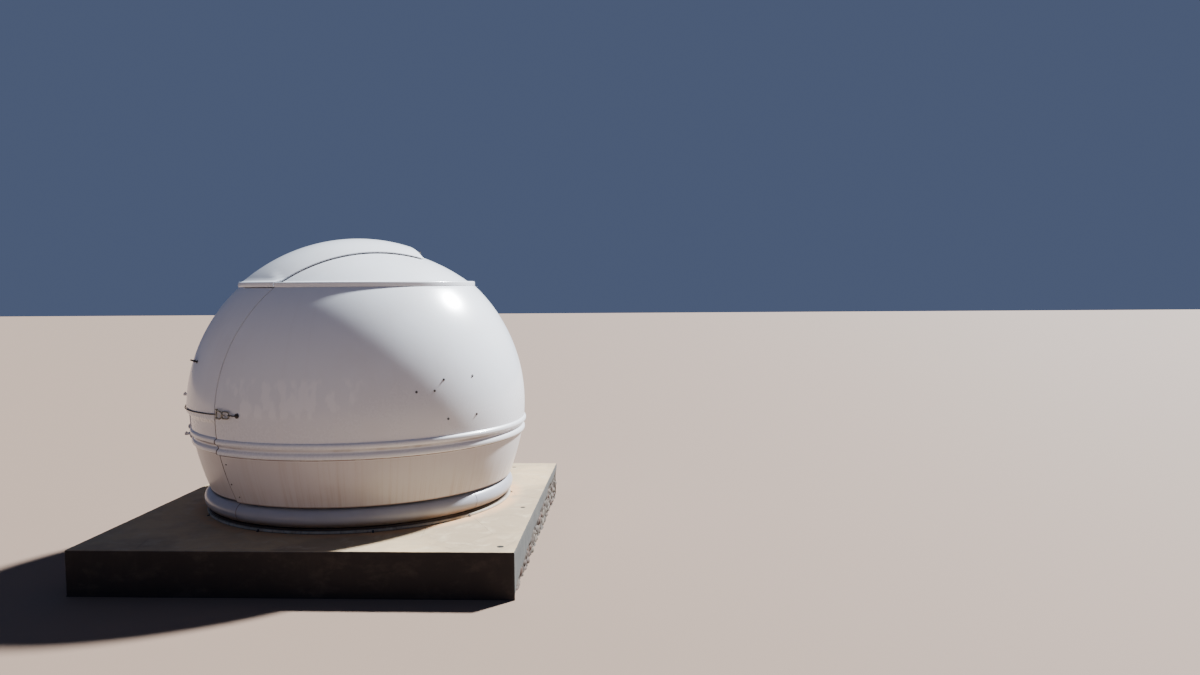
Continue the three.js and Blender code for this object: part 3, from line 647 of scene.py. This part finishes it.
def raw_laminate():
    """Uncoated glass-fibre laminate, with the fibres showing."""
    paint = Finish("Raw glass-fibre laminate")
    place = paint.place()
    fibres = paint.grain(place, (150, 35, 150), 4, 0.6, 1.5)
    crossed = paint.grain(place, (35, 150, 60), 4, 0.6, 1.5)
    weave = fibres.most(crossed)
    cloud = paint.noise(place, 2.3, 4, 0.6)
    shade = paint.stains((0.50, 0.49, 0.44), (weave, (0.42, 0.68), 1, (0.68, 0.67, 0.62)),
                         (cloud, (0.45, 0.70), 0.35, (0.40, 0.36, 0.28)))
    return paint.finish(shade, 0.42 + 0.25 * weave, (weave, 0.0009, 0.7))


def plinth_coat():
    """Trowelled cement on top, stained cast sides, and rough sides of stones and mortar; the sides are
    darkened as painted shade, and the joints between the stones darker still as painted shade.
    """
    paint = Finish("Plinth cement and stone")
    place = paint.place()
    x, y, z = paint.parts(place)
    mortar, stones, tint = (
        paint.node("ShaderNodeAttribute", {"attribute_name": name}, None, "Fac") for name in RELIEF_PARTS)
    cloud = paint.noise(place, 1.1, 6, 0.62)
    blot = paint.noise(place, 6.5, 5, 0.62, 0.6)
    trowel = paint.grain(place, (3.0, 22, 1), 4, 0.6, 1.2)

    patchy = paint.grain(place, (2.6, 4.16, 2.6), 7, 0.72, 0.9)
    top = paint.stains(
        colour("cement"),
        (cloud, (0.40, 0.62), 1, (0.30, 0.222, 0.135)),
        (blot, (0.50, 0.72), 0.60, (0.50, 0.395, 0.260)),
        (patchy, (0.46, 0.60), 0.45, (0.34, 0.262, 0.165)),
        (trowel, (0.55, 0.75), 0.20, (0.29, 0.235, 0.165)),
    )
    off_x, off_y = paint.parts(paint.local(0.0))[:2]
    reach = (off_x * off_x + off_y * off_y) ** 0.5
    splash = paint.fade(reach, 1.36, 1.24) * paint.fade(paint.noise(place, 7, 4, 0.6), 0.28, 0.50)
    top = paint.mix(splash * 0.85, top, (0.58, 0.33, 0.16))
    cracks = paint.node("ShaderNodeTexVoronoi", {"feature": "DISTANCE_TO_EDGE"},
                        {"Vector": paint.stretch(place, (1, 1, 0)), "Scale": 1.9})
    cracked = paint.fade(cracks + 0.010 * blot, 0.0085, 0.0062) * paint.fade(cloud, 0.50, 0.60)
    top = paint.mix(cracked * 0.55, top, (0.17, 0.13, 0.10))
    # The old anchor holes are black discs: painted shade inside the holes.
    hole_shade = 0.0 * x
    for hole_x, hole_y, radius in ANCHOR_HOLES:
        aside, along = x - hole_x, y - hole_y
        away = (aside * aside + along * along) ** 0.5
        hole_shade = hole_shade.most(paint.fade(away, radius, radius * 0.93))
    top = paint.mix(hole_shade, top, (0.002, 0.002, 0.002))

    runs = paint.grain(place, (9, 9, 1.3), 5, 0.65)
    mottle = paint.grain(place, (5, 5, 9), 6, 0.7)
    # The cast sides: stains over a near-black colour that is painted shade.
    cast = paint.stains(
        colour("cast"),
        (runs, (0.46, 0.74), 0.3, (0.050, 0.036, 0.027)),
        (mottle, (0.48, 0.70), 0.7, (0.060, 0.044, 0.034)),
        (blot, (0.55, 0.72), 0.4, (0.018, 0.013, 0.011)),
        (z, (0.3135, 0.3180), 0.35 + 0.5 * blot, (0.30, 0.27, 0.23)),
    )
    # Stones darkened as painted shade, and darker still towards their edges, as painted shade in the
    # recessed joints.
    stone = paint.stains(
        (0.042, 0.031, 0.024),
        (tint, (0.30, 0.70), 1, (0.082, 0.063, 0.046)),
        (tint, (0.60, 0.72), 0.8, (0.135, 0.112, 0.086)),
        (tint, (0.40, 0.32), 0.8, (0.085, 0.042, 0.028)),
        (blot, (0.45, 0.65), 0.35, (0.055, 0.046, 0.038)),
        (stones, (0.42, 0.08), 0.85, (0.022, 0.017, 0.013)),
    )
    smear = paint.stains(colour("mortar"), (blot, (0.40, 0.70), 1, (0.068, 0.065, 0.058)))
    rough_side = paint.mix(mortar, stone, smear)
    side = paint.stains(cast, (stones + mortar, (0.005, 0.02), 1, rough_side))

    normal = paint.node("ShaderNodeNewGeometry", None, None, "True Normal")
    facing_up = paint.fade(paint.parts(normal)[2], 0.55, 0.80) * paint.fade(z, 0.300, 0.311)
    shade = paint.mix(facing_up, side, top)
    sand = paint.noise(place, 160, 3, 0.7)
    relief = sand * 0.5 + blot + trowel * 0.5 - (cracked + hole_shade) * 2.0 * facing_up
    return paint.finish(shade, (0.86 - 0.10 * blot).most(hole_shade), (relief, 0.0022, 0.7))


def grimy_seal():
    """Dark grey sealing strip, full of brown grime."""
    paint = Finish("Grimy seal")
    cloud = paint.noise(paint.place(), 19, 4, 0.65)
    shade = paint.stains((0.105, 0.098, 0.100), (cloud, (0.40, 0.62), 1, (0.095, 0.052, 0.030)))
    return paint.finish(shade, 0.8, (cloud, 0.0010, 0.5))


def steel(name, clean, worn, roughness, metallic, rusted):
    """Weathered steel with rust coming through."""
    paint = Finish(name)
    place = paint.place()
    cloud = paint.noise(place, 45, 5, 0.65)
    spot = paint.noise(place, 190, 4, 0.7)
    rust = paint.fade(cloud, 0.50, 0.66) * rusted
    shade = paint.stains(clean, (spot, (0.35, 0.70), 1, worn))
    shade = paint.mix(rust, shade, (0.115, 0.045, 0.018))
    return paint.finish(shade, roughness + 0.30 * rust, (cloud + spot, 0.0005, 0.6), Metallic=metallic)


def black_nylon():
    """Black nylon wheels, worn grey."""
    paint = Finish("Roller nylon")
    worn = paint.noise(paint.place(), 70, 4, 0.6)
    shade = paint.stains((0.030, 0.030, 0.031), (worn, (0.40, 0.70), 1, (0.085, 0.082, 0.078)))
    return paint.finish(shade, 0.42 + 0.25 * worn, (worn, 0.0004, 0.5))


def plain_floor():
    paint = Finish("Plain pale floor")
    share = paint.noise(paint.place(), 0.6, 2, 0.5) * 0.10
    return paint.finish(paint.mix(share, colour("floor"), (0.190, 0.130, 0.095)), 0.9)


COATS = {
    "gel": gel_coat, "ring": ring_coat, "foot": foot_coat, "raw": raw_laminate, "seal": grimy_seal,
    "plinth": plinth_coat, "nylon": black_nylon, "floor": plain_floor,
}
# Name, clean and worn colour, roughness, metallic and the share of rust
STEELS = {
    "painted": ("White painted steel", (0.62, 0.63, 0.66), (0.46, 0.46, 0.48), 0.40, 0.0, 0.25),
    "galvanized": ("Galvanized steel", (0.40, 0.41, 0.42), (0.26, 0.27, 0.27), 0.42, 0.85, 0.75),
    "dark": ("Weathered dark steel", (0.075, 0.070, 0.066), (0.035, 0.033, 0.031), 0.45, 0.6, 0.75),
    "link": ("Weathered plated steel", (0.34, 0.33, 0.27), (0.16, 0.15, 0.12), 0.40, 0.8, 0.75),
}
finishes = {}


def finish_of(name):
    """Each finish is made once."""
    if name not in finishes:
        finishes[name] = steel(*STEELS[name]) if name in STEELS else COATS[name]()
    return finishes[name]


def repaint(name, *nodes):
    """A carried-over CAD node keeps its shape and gets a procedural finish."""
    for node in nodes:
        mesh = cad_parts[node].data
        mesh.materials.clear()
        mesh.materials.append(finish_of(name))


def between_planes(left, right):
    """The angles at which a radius meets the slit's two edges, for what lies between them."""
    return lambda r: (-asin(left / r), asin(right / r))


def round_from_slit(half):
    return lambda r: (asin(half / r), 2 * pi - asin(half / r))


def recessed(outline):
    """The door's outline: its wall and ribs lie back, up to a step in the sphere's foot."""
    low, high = RECESS_STEP

    def share(z):
        t = min(max((high - z) / (high - low), 0), 1)
        return t * t * (3 - 2 * t)
    return [(r - DOOR_RECESS * share(z), z) for r, z in outline]


def skin_outline(top):
    """Outer face from the wall's bottom edge up over the ribs and the sphere."""
    radius = sizes().radius
    foot = [(1.2200, 0.1890), (1.2216, 0.1896), (wall_radius(0.1920), 0.1920)]
    wall = [(wall_radius(z), z) for z in spread(0.200, 0.521, 14)]
    ribs = [tuple(p) for p in spline([wall[-1], *RIB_CONTROLS], 3)][1:]
    step = sphere_arc(radius, RIBS_TOP, FINE_TOP, 20)[1:]
    sphere = sphere_arc(radius, FINE_TOP, top - 0.003, 36)[1:]
    return [*foot, *wall, *ribs, *step, *sphere, (sphere_radius(top, radius) - 0.0012, top)]


def lining_outline(top, with_track):
    """Inner face from the top down, with the track flange where asked."""
    depth = sizes().thickness
    radius = sizes().radius - depth
    sphere = sphere_arc(radius, FINE_TOP, top, 20)[::-1]
    step = sphere_arc(radius, LINING_FOOT, FINE_TOP, 12)[-2::-1]
    wall = [(wall_radius(z) - depth, z) for z in spread(WALL_TOP[1], TRACK_LOW + depth, 5)]
    flange = [(TRACK_INNER, TRACK_LOW + depth), (TRACK_INNER, TRACK_LOW)] if with_track else []
    below = [(wall_radius(z) - depth, z) for z in (TRACK_LOW, WALL_BOTTOM[1])]
    return [*sphere, *step, LINING_BEND, *wall, *flange, *below]


def moulding(name, outer, inner, span, steps, body, replaced):
    """A swept wall with gel coat outside and bare laminate inside, in place of CAD nodes."""
    lined = range(len(outer), len(outer) + len(inner))
    piece = sweep(name, [*outer, *inner], span, steps, body, DOME, lined)
    soften(piece, 0.0018)
    finish_piece(piece, ["gel", "raw"], replaced)


class OBSERVATORY_OT_shell(bpy.types.Operator):
    """Wall, ribs and large shell, which run in one moulding from the slit round to the slit"""

    bl_idname = "observatory.shell"
    bl_label = "Shell"

    def execute(self, context):
        places = ["right_front", "right_side", "right_rear", "left_rear", "left_side", "left_front"]
        nodes = [f"{kind}_{place}" for kind in ("skirt", "shell") for place in places]
        ridge = sizes().ridge
        moulding("dome_moulding", skin_outline(ridge), lining_outline(ridge, True),
                 round_from_slit(sizes().slit_half), sizes().turns, "dome", nodes)
        return {"FINISHED"}


class OBSERVATORY_OT_door(bpy.types.Operator):
    """Front door panel, whose outline carries on the shell's"""

    bl_idname = "observatory.door"
    bl_label = "Front door"

    def execute(self, context):
        top = sizes().door_top
        moulding("door_moulding", recessed(skin_outline(top)), recessed(lining_outline(top, False)),
                 between_planes(sizes().door_left, sizes().door_right), 40, "door",
                 ["door_lower", "door_upper"])
        return {"FINISHED"}


class OBSERVATORY_OT_cap(bpy.types.Operator):
    """Small cap with its rolled ridge lip, cut open under the hatch"""

    bl_idname = "observatory.cap"
    bl_label = "Cap"

    def execute(self, context):
        centre, radius, depth = sizes().cap_centre, sizes().cap_radius, sizes().thickness
        top = centre + radius
        lip = [tuple(p) for p in spline(LIP_OUTLINE, 2)]
        arc = sphere_arc(radius, CAP_FOOT, top, 30, centre)[:-1]
        under = sphere_arc(radius - depth, CAP_LINING_FOOT, top - depth, 14, centre)[:-1]
        outline = [*lip, *arc, (0.0005, top), (0.0005, top - depth), *under[::-1], (0.898, 1.7576)]
        lined = range(len(lip) + len(arc) + 1, len(outline))
        cap = sweep("cap_moulding", outline, None, 180, "dome", Matrix.Identity(4), lined)
        carve(cap, [
            ((0, -LEDGE_HALF, 1.60), (2, LEDGE_HALF, LEDGE_TOP)),
            ((OPENING_REAR, -OPENING_HALF, 1.60), (2, OPENING_HALF, 2.5)),
        ])
        cap.data.transform(DOME)
        finish_piece(cap, ["gel", "raw"], ["cap_right", "cap_left", "cap_rear"])
        repaint("raw", "hatch_coaming", "door_sill")
        repaint("seal", "door_stop_right", "door_stop_left")
        repaint("galvanized", "hatch_hinge_cap_leaf_right", "hatch_hinge_cap_leaf_left")
        return {"FINISHED"}


class OBSERVATORY_OT_hatch(bpy.types.Operator):
    """Raised top hatch, whose sides turn down to the cap, with its front lip"""

    bl_idname = "observatory.hatch"
    bl_label = "Top hatch"

    def execute(self, context):
        rows = self.rows()
        points = []
        for y, drop in rows:
            points.extend(self.loop(y, drop))
        count = len(points) // len(rows)
        second = [int(k >= self.outer_count) for k in range(count)] * (len(rows) - 1) + [0, 0]
        hatch = add_mesh("hatch_moulding", points, bands(len(rows), count), "hatch", DOME, inside=second)
        finish_piece(hatch, ["gel", "raw"], ["top_hatch"])
        repaint("galvanized", "hatch_hinge_leaf_right", "hatch_hinge_leaf_left")
        return {"FINISHED"}

    def rounded_edge(self):
        """How far the hatch's rounded edge reaches in and drops, from its side to its top."""
        turns = [radians(step) for step in (0, 22, 45, 68, 90)]
        return [(HATCH_EDGE * (1 - cos(a)), HATCH_EDGE * (1 - sin(a))) for a in turns]

    def rows(self):
        """Across the hatch: where each row lies, and how far its rounded edge drops."""
        edge = [(HATCH_HALF - into, drop) for into, drop in self.rounded_edge()]
        right = edge + [(y, 0) for y in spread(HATCH_HALF - 0.012, 0.27, 14)]
        middle = [(y, 0) for y in spread(0.25, -0.25, 14)]
        return [*right, *middle, *((-y, drop) for y, drop in reversed(right))]

    def height(self, x, y):
        """The outer face: a sphere whose sides turn down to hover over the cap."""
        centre, radius = sizes().centre, sizes().hatch_radius
        low = sphere_height(sizes().cap_radius, sizes().cap_centre, x, HATCH_HALF)
        drop = sphere_height(radius, centre, x, HATCH_HALF) - max(low, HATCH_SIDES) - HATCH_RISE
        return sphere_height(radius, centre, x, y) - max(drop, 0) * (abs(y) / HATCH_HALF) ** 3

    def loop(self, y, drop):
        """The closed outline of one slice from the rear skirt over the top to the lip and back inside."""
        def foot(x):
            return sphere_height(sizes().cap_radius, sizes().cap_centre, x, y) + HATCH_HOVER

        line = [(HATCH_REAR, foot(HATCH_REAR))]
        for into, down in self.rounded_edge():
            line.append((HATCH_REAR + into, self.height(HATCH_REAR + into, y) - drop - down))
        front = sqrt(HATCH_FRONT ** 2 - y ** 2)
        line += [(x, self.height(x, y) - drop) for x in spread(HATCH_REAR + HATCH_EDGE, front, 46)[1:]]
        for r, z in HATCH_LIP:
            line.append((sqrt((r - drop) ** 2 - y ** 2), z - (drop if z > 1.78 else 0)))
        self.outer_count = len(line)
        depth = 0.012 - 0.004 * (abs(y) / HATCH_HALF) ** 8
        inside, rear = sqrt(HATCH_INSIDE ** 2 - y ** 2), HATCH_REAR + sizes().thickness
        line += [(x, self.height(x, y) - depth) for x in spread(inside, rear, 26)]
        line.append((rear, foot(rear)))
        return [(x, y, z) for x, z in line]


class OBSERVATORY_OT_base_ring(bpy.types.Operator):
    """Half-round base ring and its foot in four quarters, with the rollers on the deck inside"""

    bl_idname = "observatory.base_ring"
    bl_label = "Base ring"

    def execute(self, context):
        radius, thick = (RING_TOP - RING_BOTTOM) / 2, sizes().thickness

        def arc(r, first, last, steps):
            turns = [radians(a) for a in spread(first, last, steps)]
            return [(RING_OUTER - radius + r * cos(a), RING_BOTTOM + radius + r * sin(a))
                    for a in turns]

        outline = [(FOOT_INNER, RING_BOTTOM), *arc(radius, -90, 90, 26), (RING_INNER, RING_TOP),
                   (RING_INNER, RING_TOP - thick), *arc(radius - thick, 90, -90, 12),
                   (FOOT_INNER, RING_BOTTOM + thick)]
        foot = [(FOOT_INNER, 0.0003), (1.2160, 0.0003), (1.2200, 0.0040), (1.2200, 0.0170),
                (1.2188, 0.0190), (1.2160, 0.0200), (1.2030, 0.0205), (1.2015, 0.0350),
                (FOOT_INNER, 0.0350)]
        for i in range(4):
            def span(r, first=i * pi / 2):
                return first + RING_JOINT / r, first + pi / 2 - RING_JOINT / r
            ring = sweep(f"base_ring_moulding_{i + 1}", outline, span, 60, "base", BASE)
            soften(ring, 0.0025)
            finish_piece(ring, ["ring"], [f"base_ring_{i + 1}"])
            base = sweep(f"foot_ring_moulding_{i + 1}", foot, span, 60, "base", BASE)
            finish_piece(base, ["foot"], [f"foot_ring_{i + 1}"])
        repaint("nylon", *[f"roller_{i + 1}" for i in range(6)])
        return {"FINISHED"}


class OBSERVATORY_OT_clips(bpy.types.Operator):
    """Small angle clips that hold the foot ring down on the plinth"""

    bl_idname = "observatory.clips"
    bl_label = "Foot clips"

    def execute(self, context):
        points, faces = [], []
        for turn in CLIP_TURNS:
            place = Matrix.Rotation(radians(turn), 4, "Z") @ Matrix.Translation((CLIP_REACH, 0, 0.0003))
            faces += bands(2, len(CLIP_OUTLINE), len(points))
            for y in (-0.0075, 0.0075):
                points += [place @ Vector((x, y, z)) for x, z in CLIP_OUTLINE]
            head = place @ Matrix.Translation((0.0105, 0, 0.0032))
            more, joined = turned(bolt_parts(head, 0.006, 0.004))
            faces += [tuple(v + len(points) for v in face) for face in joined]
            points += more
        clips = add_mesh("foot_clips", points, faces, "base", BASE, 30)
        finish_piece(clips, ["dark"])
        return {"FINISHED"}


class OBSERVATORY_OT_fasteners(bpy.types.Operator):
    """Bolts through the shell and the wall"""

    bl_idname = "observatory.fasteners"
    bl_label = "Fasteners"

    def execute(self, context):
        parts = []
        for places, across, head in ((SHELL_BOLTS, 0.0095, 0.005), (WALL_BOLTS, 0.0065, 0.0035)):
            for turn, height in places:
                parts += bolt_parts(skin_frame(turn, height), across, head)
        add_turned("shell_bolts", parts, "dome", DOME)
        return {"FINISHED"}


def rope_point(angle):
    """A point of the wire rope, which climbs a little along the door."""
    turn = radians(angle)
    z = 0.832 + 0.00055 * (angle + 10)
    r = sphere_radius(z, sizes().radius) + ROPE_LIFT
    return r * cos(turn), r * sin(turn), z


class OBSERVATORY_OT_lashing(bpy.types.Operator):
    """The door's lashing: eye bolt and link on the shell, shackle and wire rope on the door"""

    bl_idname = "observatory.lashing"
    bl_label = "Door lashing"

    def execute(self, context):
        skin = DOME @ skin_frame(*LASHING_PLACE)
        self.link_and_eye(skin, 0.0155)
        self.shackle(skin)
        start = skin_frame(*LASHING_PLACE) @ Vector((-0.1043, 0, 0.012))
        controls = [tuple(start)] + [rope_point(a) for a in spread(*ROPE_TURNS, 12)]
        tube("wire_rope", spline(controls, 26), ROPE_RADIUS, "door", DOME, 18, 6, 0.034,
             replaced=["lashing_wire_rope"])
        repaint("dark", "lashing_anchor")
        return {"FINISHED"}

    def link_and_eye(self, skin, lift):
        """An oval link in the ring of an eye bolt, whose shank bends down into the shell."""
        half_straight, end_radius, eye_radius = 0.015, 0.025, 0.0105
        oval = []
        for a in spread(0, 2 * pi, 48)[:-1]:
            side = copysign(half_straight, cos(a)) if abs(cos(a)) > 1e-6 else 0
            oval.append((end_radius * cos(a) + side, end_radius * sin(a), lift))
        tube("link_ring", oval, 0.005, "dome", skin, 12, closed=True, metal="link",
             replaced=["oval_link"])
        eye = [(0.0412 + eye_radius * cos(a), 0, lift + eye_radius * sin(a))
               for a in spread(0, 2 * pi, 24)[:-1]]
        tube("eye_ring", eye, 0.004, "dome", skin, 10, closed=True, replaced=["eye_bolt"])
        shank = [(0.052, 0, lift), (0.075, 0, lift), (0.092, 0, lift - 0.001), (0.100, 0, 0.007),
                 (0.101, 0, -0.004)]
        tube("eye_shank", spline(shank, 6), 0.0045, "dome", skin, 12)
        seat = skin @ Matrix.Translation((0.101, 0, 0.0008))
        add_turned("eye_nut", bolt_parts(seat, 0.019, 0.009, 24), "dome")

    def shackle(self, skin):
        """A bow whose open tongue reaches into the link, and the pin across its ends."""
        half = [(-0.104, 0.025, 0.010), (-0.080, 0.026, 0.017), (-0.055, 0.027, 0.025),
                (-0.038, 0.024, 0.028), (-0.022, 0.013, 0.028)]
        bow_route = [*half, (-0.017, 0, 0.028), *((x, -y, z) for x, y, z in reversed(half))]
        tube("shackle_bow", spline(bow_route, 5), 0.0055, "door", skin, metal="link",
             replaced=["lashing_shackle"])
        drop = [(-0.018, 0, 0.030), (-0.019, 0, 0.020), (-0.019, 0, 0.008)]
        tube("shackle_tongue", spline(drop, 5), 0.004, "door", skin, 10, metal="link")
        across = Matrix.Rotation(radians(-90), 4, "X")
        shaft = [(0.0045, 0), (0.006, 0.0015), (0.006, 0.0685), (0.0045, 0.070)]
        head = [(0.008, 0), (0.010, 0.0015), (0.010, 0.0075), (0.008, 0.009)]
        parts = [(Matrix.Translation((-0.098, y, 0.012)) @ across, outline, 20)
                 for y, outline in ((-0.035, shaft), (0.0325, head))]
        add_turned("shackle_pin", parts, "door", skin, "link")


class OBSERVATORY_OT_handle(bpy.types.Operator):
    """Grab handle on the door, and the steel of the door's hinges"""

    bl_idname = "observatory.handle"
    bl_label = "Handle and hinges"

    def execute(self, context):
        skin = DOME @ skin_frame(*HANDLE_PLACE)
        half = [(-HANDLE_HALF, 0, -0.002), (-HANDLE_HALF, 0, 0.020), (0.010 - HANDLE_HALF, 0, 0.032)]
        route = [*half, (0, 0, 0.033), *((-x, y, z) for x, y, z in reversed(half))]
        tube("handle_grip", spline(route, 6), 0.006, "door", skin, replaced=["door_handle"])
        foot = [(0.0125, 0), (0.013, 0.001), (0.013, 0.0045), (0.0115, 0.006), (0.007, 0.0065)]
        feet = [(Matrix.Translation((x, 0, -0.002)), foot, 24) for x in (HANDLE_HALF, -HANDLE_HALF)]
        add_turned("handle_feet", feet, "door", skin)
        repaint("painted", "door_hinge_bracket_lower", "door_hinge_bracket_upper",
                "door_hinge_strap_lower", "door_hinge_strap_upper")
        return {"FINISHED"}


def side_relief(point, outward, low, high):
    """How far a rough side lies back at a point, and its mortar, its stone and the stone's tint."""
    along = (point.y - low) / (high - low) if abs(outward.x) > 0.5 else (high - point.x) / (high - low)
    edge = 0.255 * (max(along, 0) ** 0.42) - 0.01
    edge += 0.030 * noise.noise(point * 5.3) + 0.014 * noise.noise(point * 19)
    mortar = min(max((point.z - edge) / 0.016, 0), 1)
    warp = Vector([noise.noise(point * 6 + shift) for shift in WARP_SHIFTS]) * 0.55
    distances, stones = noise.voronoi(Vector((point.x * 12, point.y * 12, point.z * 19)) + warp)
    stone = min(max((distances[1] - distances[0]) * 2.1, 0), 1)
    tint = 0.5 + 0.5 * noise.noise(stones[0] * 17.3)
    uneven = 0.5 + 0.5 * noise.noise(point * 11)
    depth = (1 - stone) ** 1.4 * 0.75 + 0.45 * uneven
    flush = 0.06 + 0.05 * noise.noise(point * 14)
    return depth * (1 - mortar) + flush * mortar, (mortar, max(stone, 0.03) * (1 - mortar), tint)


class OBSERVATORY_OT_plinth(bpy.types.Operator):
    """Square concrete plinth: a trowelled top, two cast sides and two of stones and mortar"""

    bl_idname = "observatory.plinth"
    bl_label = "Plinth"

    def execute(self, context):
        height = context.scene.plinth_sizes.height
        split = height - context.scene.plinth_sizes.screed
        self.slab("plinth_top", "plinth_screed", split, height, "screed_cement")
        self.slab("plinth_body", "plinth_core", 0.0, split, "rubble_concrete")
        return {"FINISHED"}

    def slab(self, name, node, low, high, slot):
        """One layer of the plinth, from its border on a row of levels."""
        step = bpy.context.scene.plinth_sizes.step
        half_x, half_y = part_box("plinth_screed")[1].xy
        corners = [(-half_x, -half_y), (half_x, -half_y), (half_x, half_y), (-half_x, half_y)]
        border = []
        for (x, y), (next_x, next_y) in zip(corners, corners[1:] + corners[:1]):
            steps = round(max(abs(next_x - x), abs(next_y - y)) / step)
            border += list(zip(spread(x, next_x, steps), spread(y, next_y, steps)))[:-1]
        levels = spread(low, high, max(round((high - low) / step), 3))
        worked = [self.worked(Vector((x, y, z)), half_x, half_y) for z in levels for x, y in border]
        points, shows = zip(*worked)
        slab = add_mesh(name, points, bands(len(levels), len(border)), "base", sharp=60)
        for label, values in zip(RELIEF_PARTS, zip(*shows)):
            attribute = slab.data.attributes.new(label, "FLOAT", "POINT")
            attribute.data.foreach_set("value", values)
        finish_piece(slab, ["plinth"], [node])

    def worked(self, point, half_x, half_y):
        """A border point moved inward by the relief of its side, and what it shows there."""
        plinth = bpy.context.scene.plinth_sizes
        to_right, to_rear = half_x - point.x, half_y - point.y
        to_left, to_front = half_x + point.x, half_y + point.y
        nearest = min(to_right, to_rear, to_left, to_front)
        inward = Vector((0, 0, 0))
        seen = (0.0, 0.0, 0.0)
        rough = []
        if to_right == nearest:
            rough.append((Vector((1, 0, 0)), -half_y, half_y))
        if to_rear == nearest:
            rough.append((Vector((0, 1, 0)), -half_x, half_x))
        for outward, first, last in rough:
            depth, seen = side_relief(point, outward, first, last)
            inward -= outward * plinth.rubble * depth * min(to_front / 0.02, to_left / 0.02, 1)
        if not rough and point.z > 0:
            wave = max(0.0015 + 0.0015 * noise.noise(point * 3) + 0.001 * noise.noise(point * 23), 0)
            inward += Vector((wave * (to_left == nearest), wave * (to_front == nearest), 0))
        arris = max(0.0, 1 - (plinth.height - point.z) / 0.006)
        chip = 0.003 * arris * (1 + noise.noise(point * 31))
        middle = Vector((-point.x / half_x, -point.y / half_y, 0))
        return point + inward + middle * chip, seen


class OBSERVATORY_OT_stage(bpy.types.Operator):
    """Plain pale floor, soft studio light and the camera"""

    bl_idname = "observatory.stage"
    bl_label = "Studio"

    def execute(self, context):
        corners = [(-FLOOR_REACH, -FLOOR_REACH), (FLOOR_REACH, -FLOOR_REACH),
                   (FLOOR_REACH, FLOOR_REACH), (-FLOOR_REACH, FLOOR_REACH)]
        mesh = bpy.data.meshes.new("studio_floor")
        mesh.from_pydata([(x, y, -FLOOR_DROP) for x, y in corners], [], [(0, 1, 2, 3)])
        mesh.materials.append(finish_of("floor"))
        floor = add_object("studio_floor", mesh)

        light = bpy.data.lights.new("Key", "SUN")
        light.angle = radians(SUN_SPREAD)
        light.energy = SUN_STRENGTH
        light.color = SUN_TINT
        lamp = add_object("Key", light)
        way = SUN_WAY.normalized()
        lamp.location = DOME_AXIS + way * 8
        lamp.rotation_euler = way.to_track_quat("Z", "Y").to_euler()

        world = bpy.data.worlds.new("Studio")
        world.use_nodes = True
        background = world.node_tree.nodes["Background"]
        background.inputs["Color"].default_value = SKY_TINT
        background.inputs["Strength"].default_value = SKY_STRENGTH
        context.scene.world = world

        lens = bpy.data.cameras.new("Camera")
        lens.sensor_width = 36
        lens.lens = CAMERA_LENS
        camera = add_object("Camera", lens)
        camera.location = CAMERA_PLACE
        heading, pitch, roll = (radians(turn) for turn in CAMERA_TURNS)
        level = cos(pitch)
        way = Vector((-sin(heading) * level, cos(heading) * level, sin(pitch)))
        turn = way.to_track_quat("-Z", "Y") @ Quaternion((0, 0, 1), roll)
        camera.rotation_euler = turn.to_euler()
        context.scene.camera = camera
        return {"FINISHED"}


PIECES = (
    OBSERVATORY_OT_shell, OBSERVATORY_OT_door, OBSERVATORY_OT_cap, OBSERVATORY_OT_hatch,
    OBSERVATORY_OT_base_ring, OBSERVATORY_OT_clips, OBSERVATORY_OT_fasteners, OBSERVATORY_OT_lashing,
    OBSERVATORY_OT_handle, OBSERVATORY_OT_plinth, OBSERVATORY_OT_stage,
)
GROUPS = {"dome_sizes": DomeSizes, "plinth_sizes": PlinthSizes, "dome_colours": DomeColours}


class OBSERVATORY_PT_panel(bpy.types.Panel):
    """Lists the pieces of the observatory and its sizes and colours"""

    bl_label = "Observatory dome"
    bl_space_type = "VIEW_3D"
    bl_region_type = "UI"
    bl_category = "Observatory"

    def draw(self, context):
        for key in GROUPS:
            group = getattr(context.scene, key)
            for name in group.bl_rna.properties.keys():
                if name not in ("rna_type", "name"):
                    self.layout.prop(group, name)
        for piece in PIECES:
            self.layout.operator(piece.bl_idname)


def register():
    for kind in (*GROUPS.values(), *PIECES, OBSERVATORY_PT_panel):
        bpy.utils.register_class(kind)
    for name, kind in GROUPS.items():
        setattr(bpy.types.Scene, name, PointerProperty(type=kind))


def unregister():
    for name in GROUPS:
        delattr(bpy.types.Scene, name)
    for kind in (OBSERVATORY_PT_panel, *PIECES, *GROUPS.values()):
        bpy.utils.unregister_class(kind)


def main():
    register()
    for piece in PIECES:
        family, name = piece.bl_idname.split(".")
        getattr(getattr(bpy.ops, family), name)()


if __name__ == "__main__":
    main()
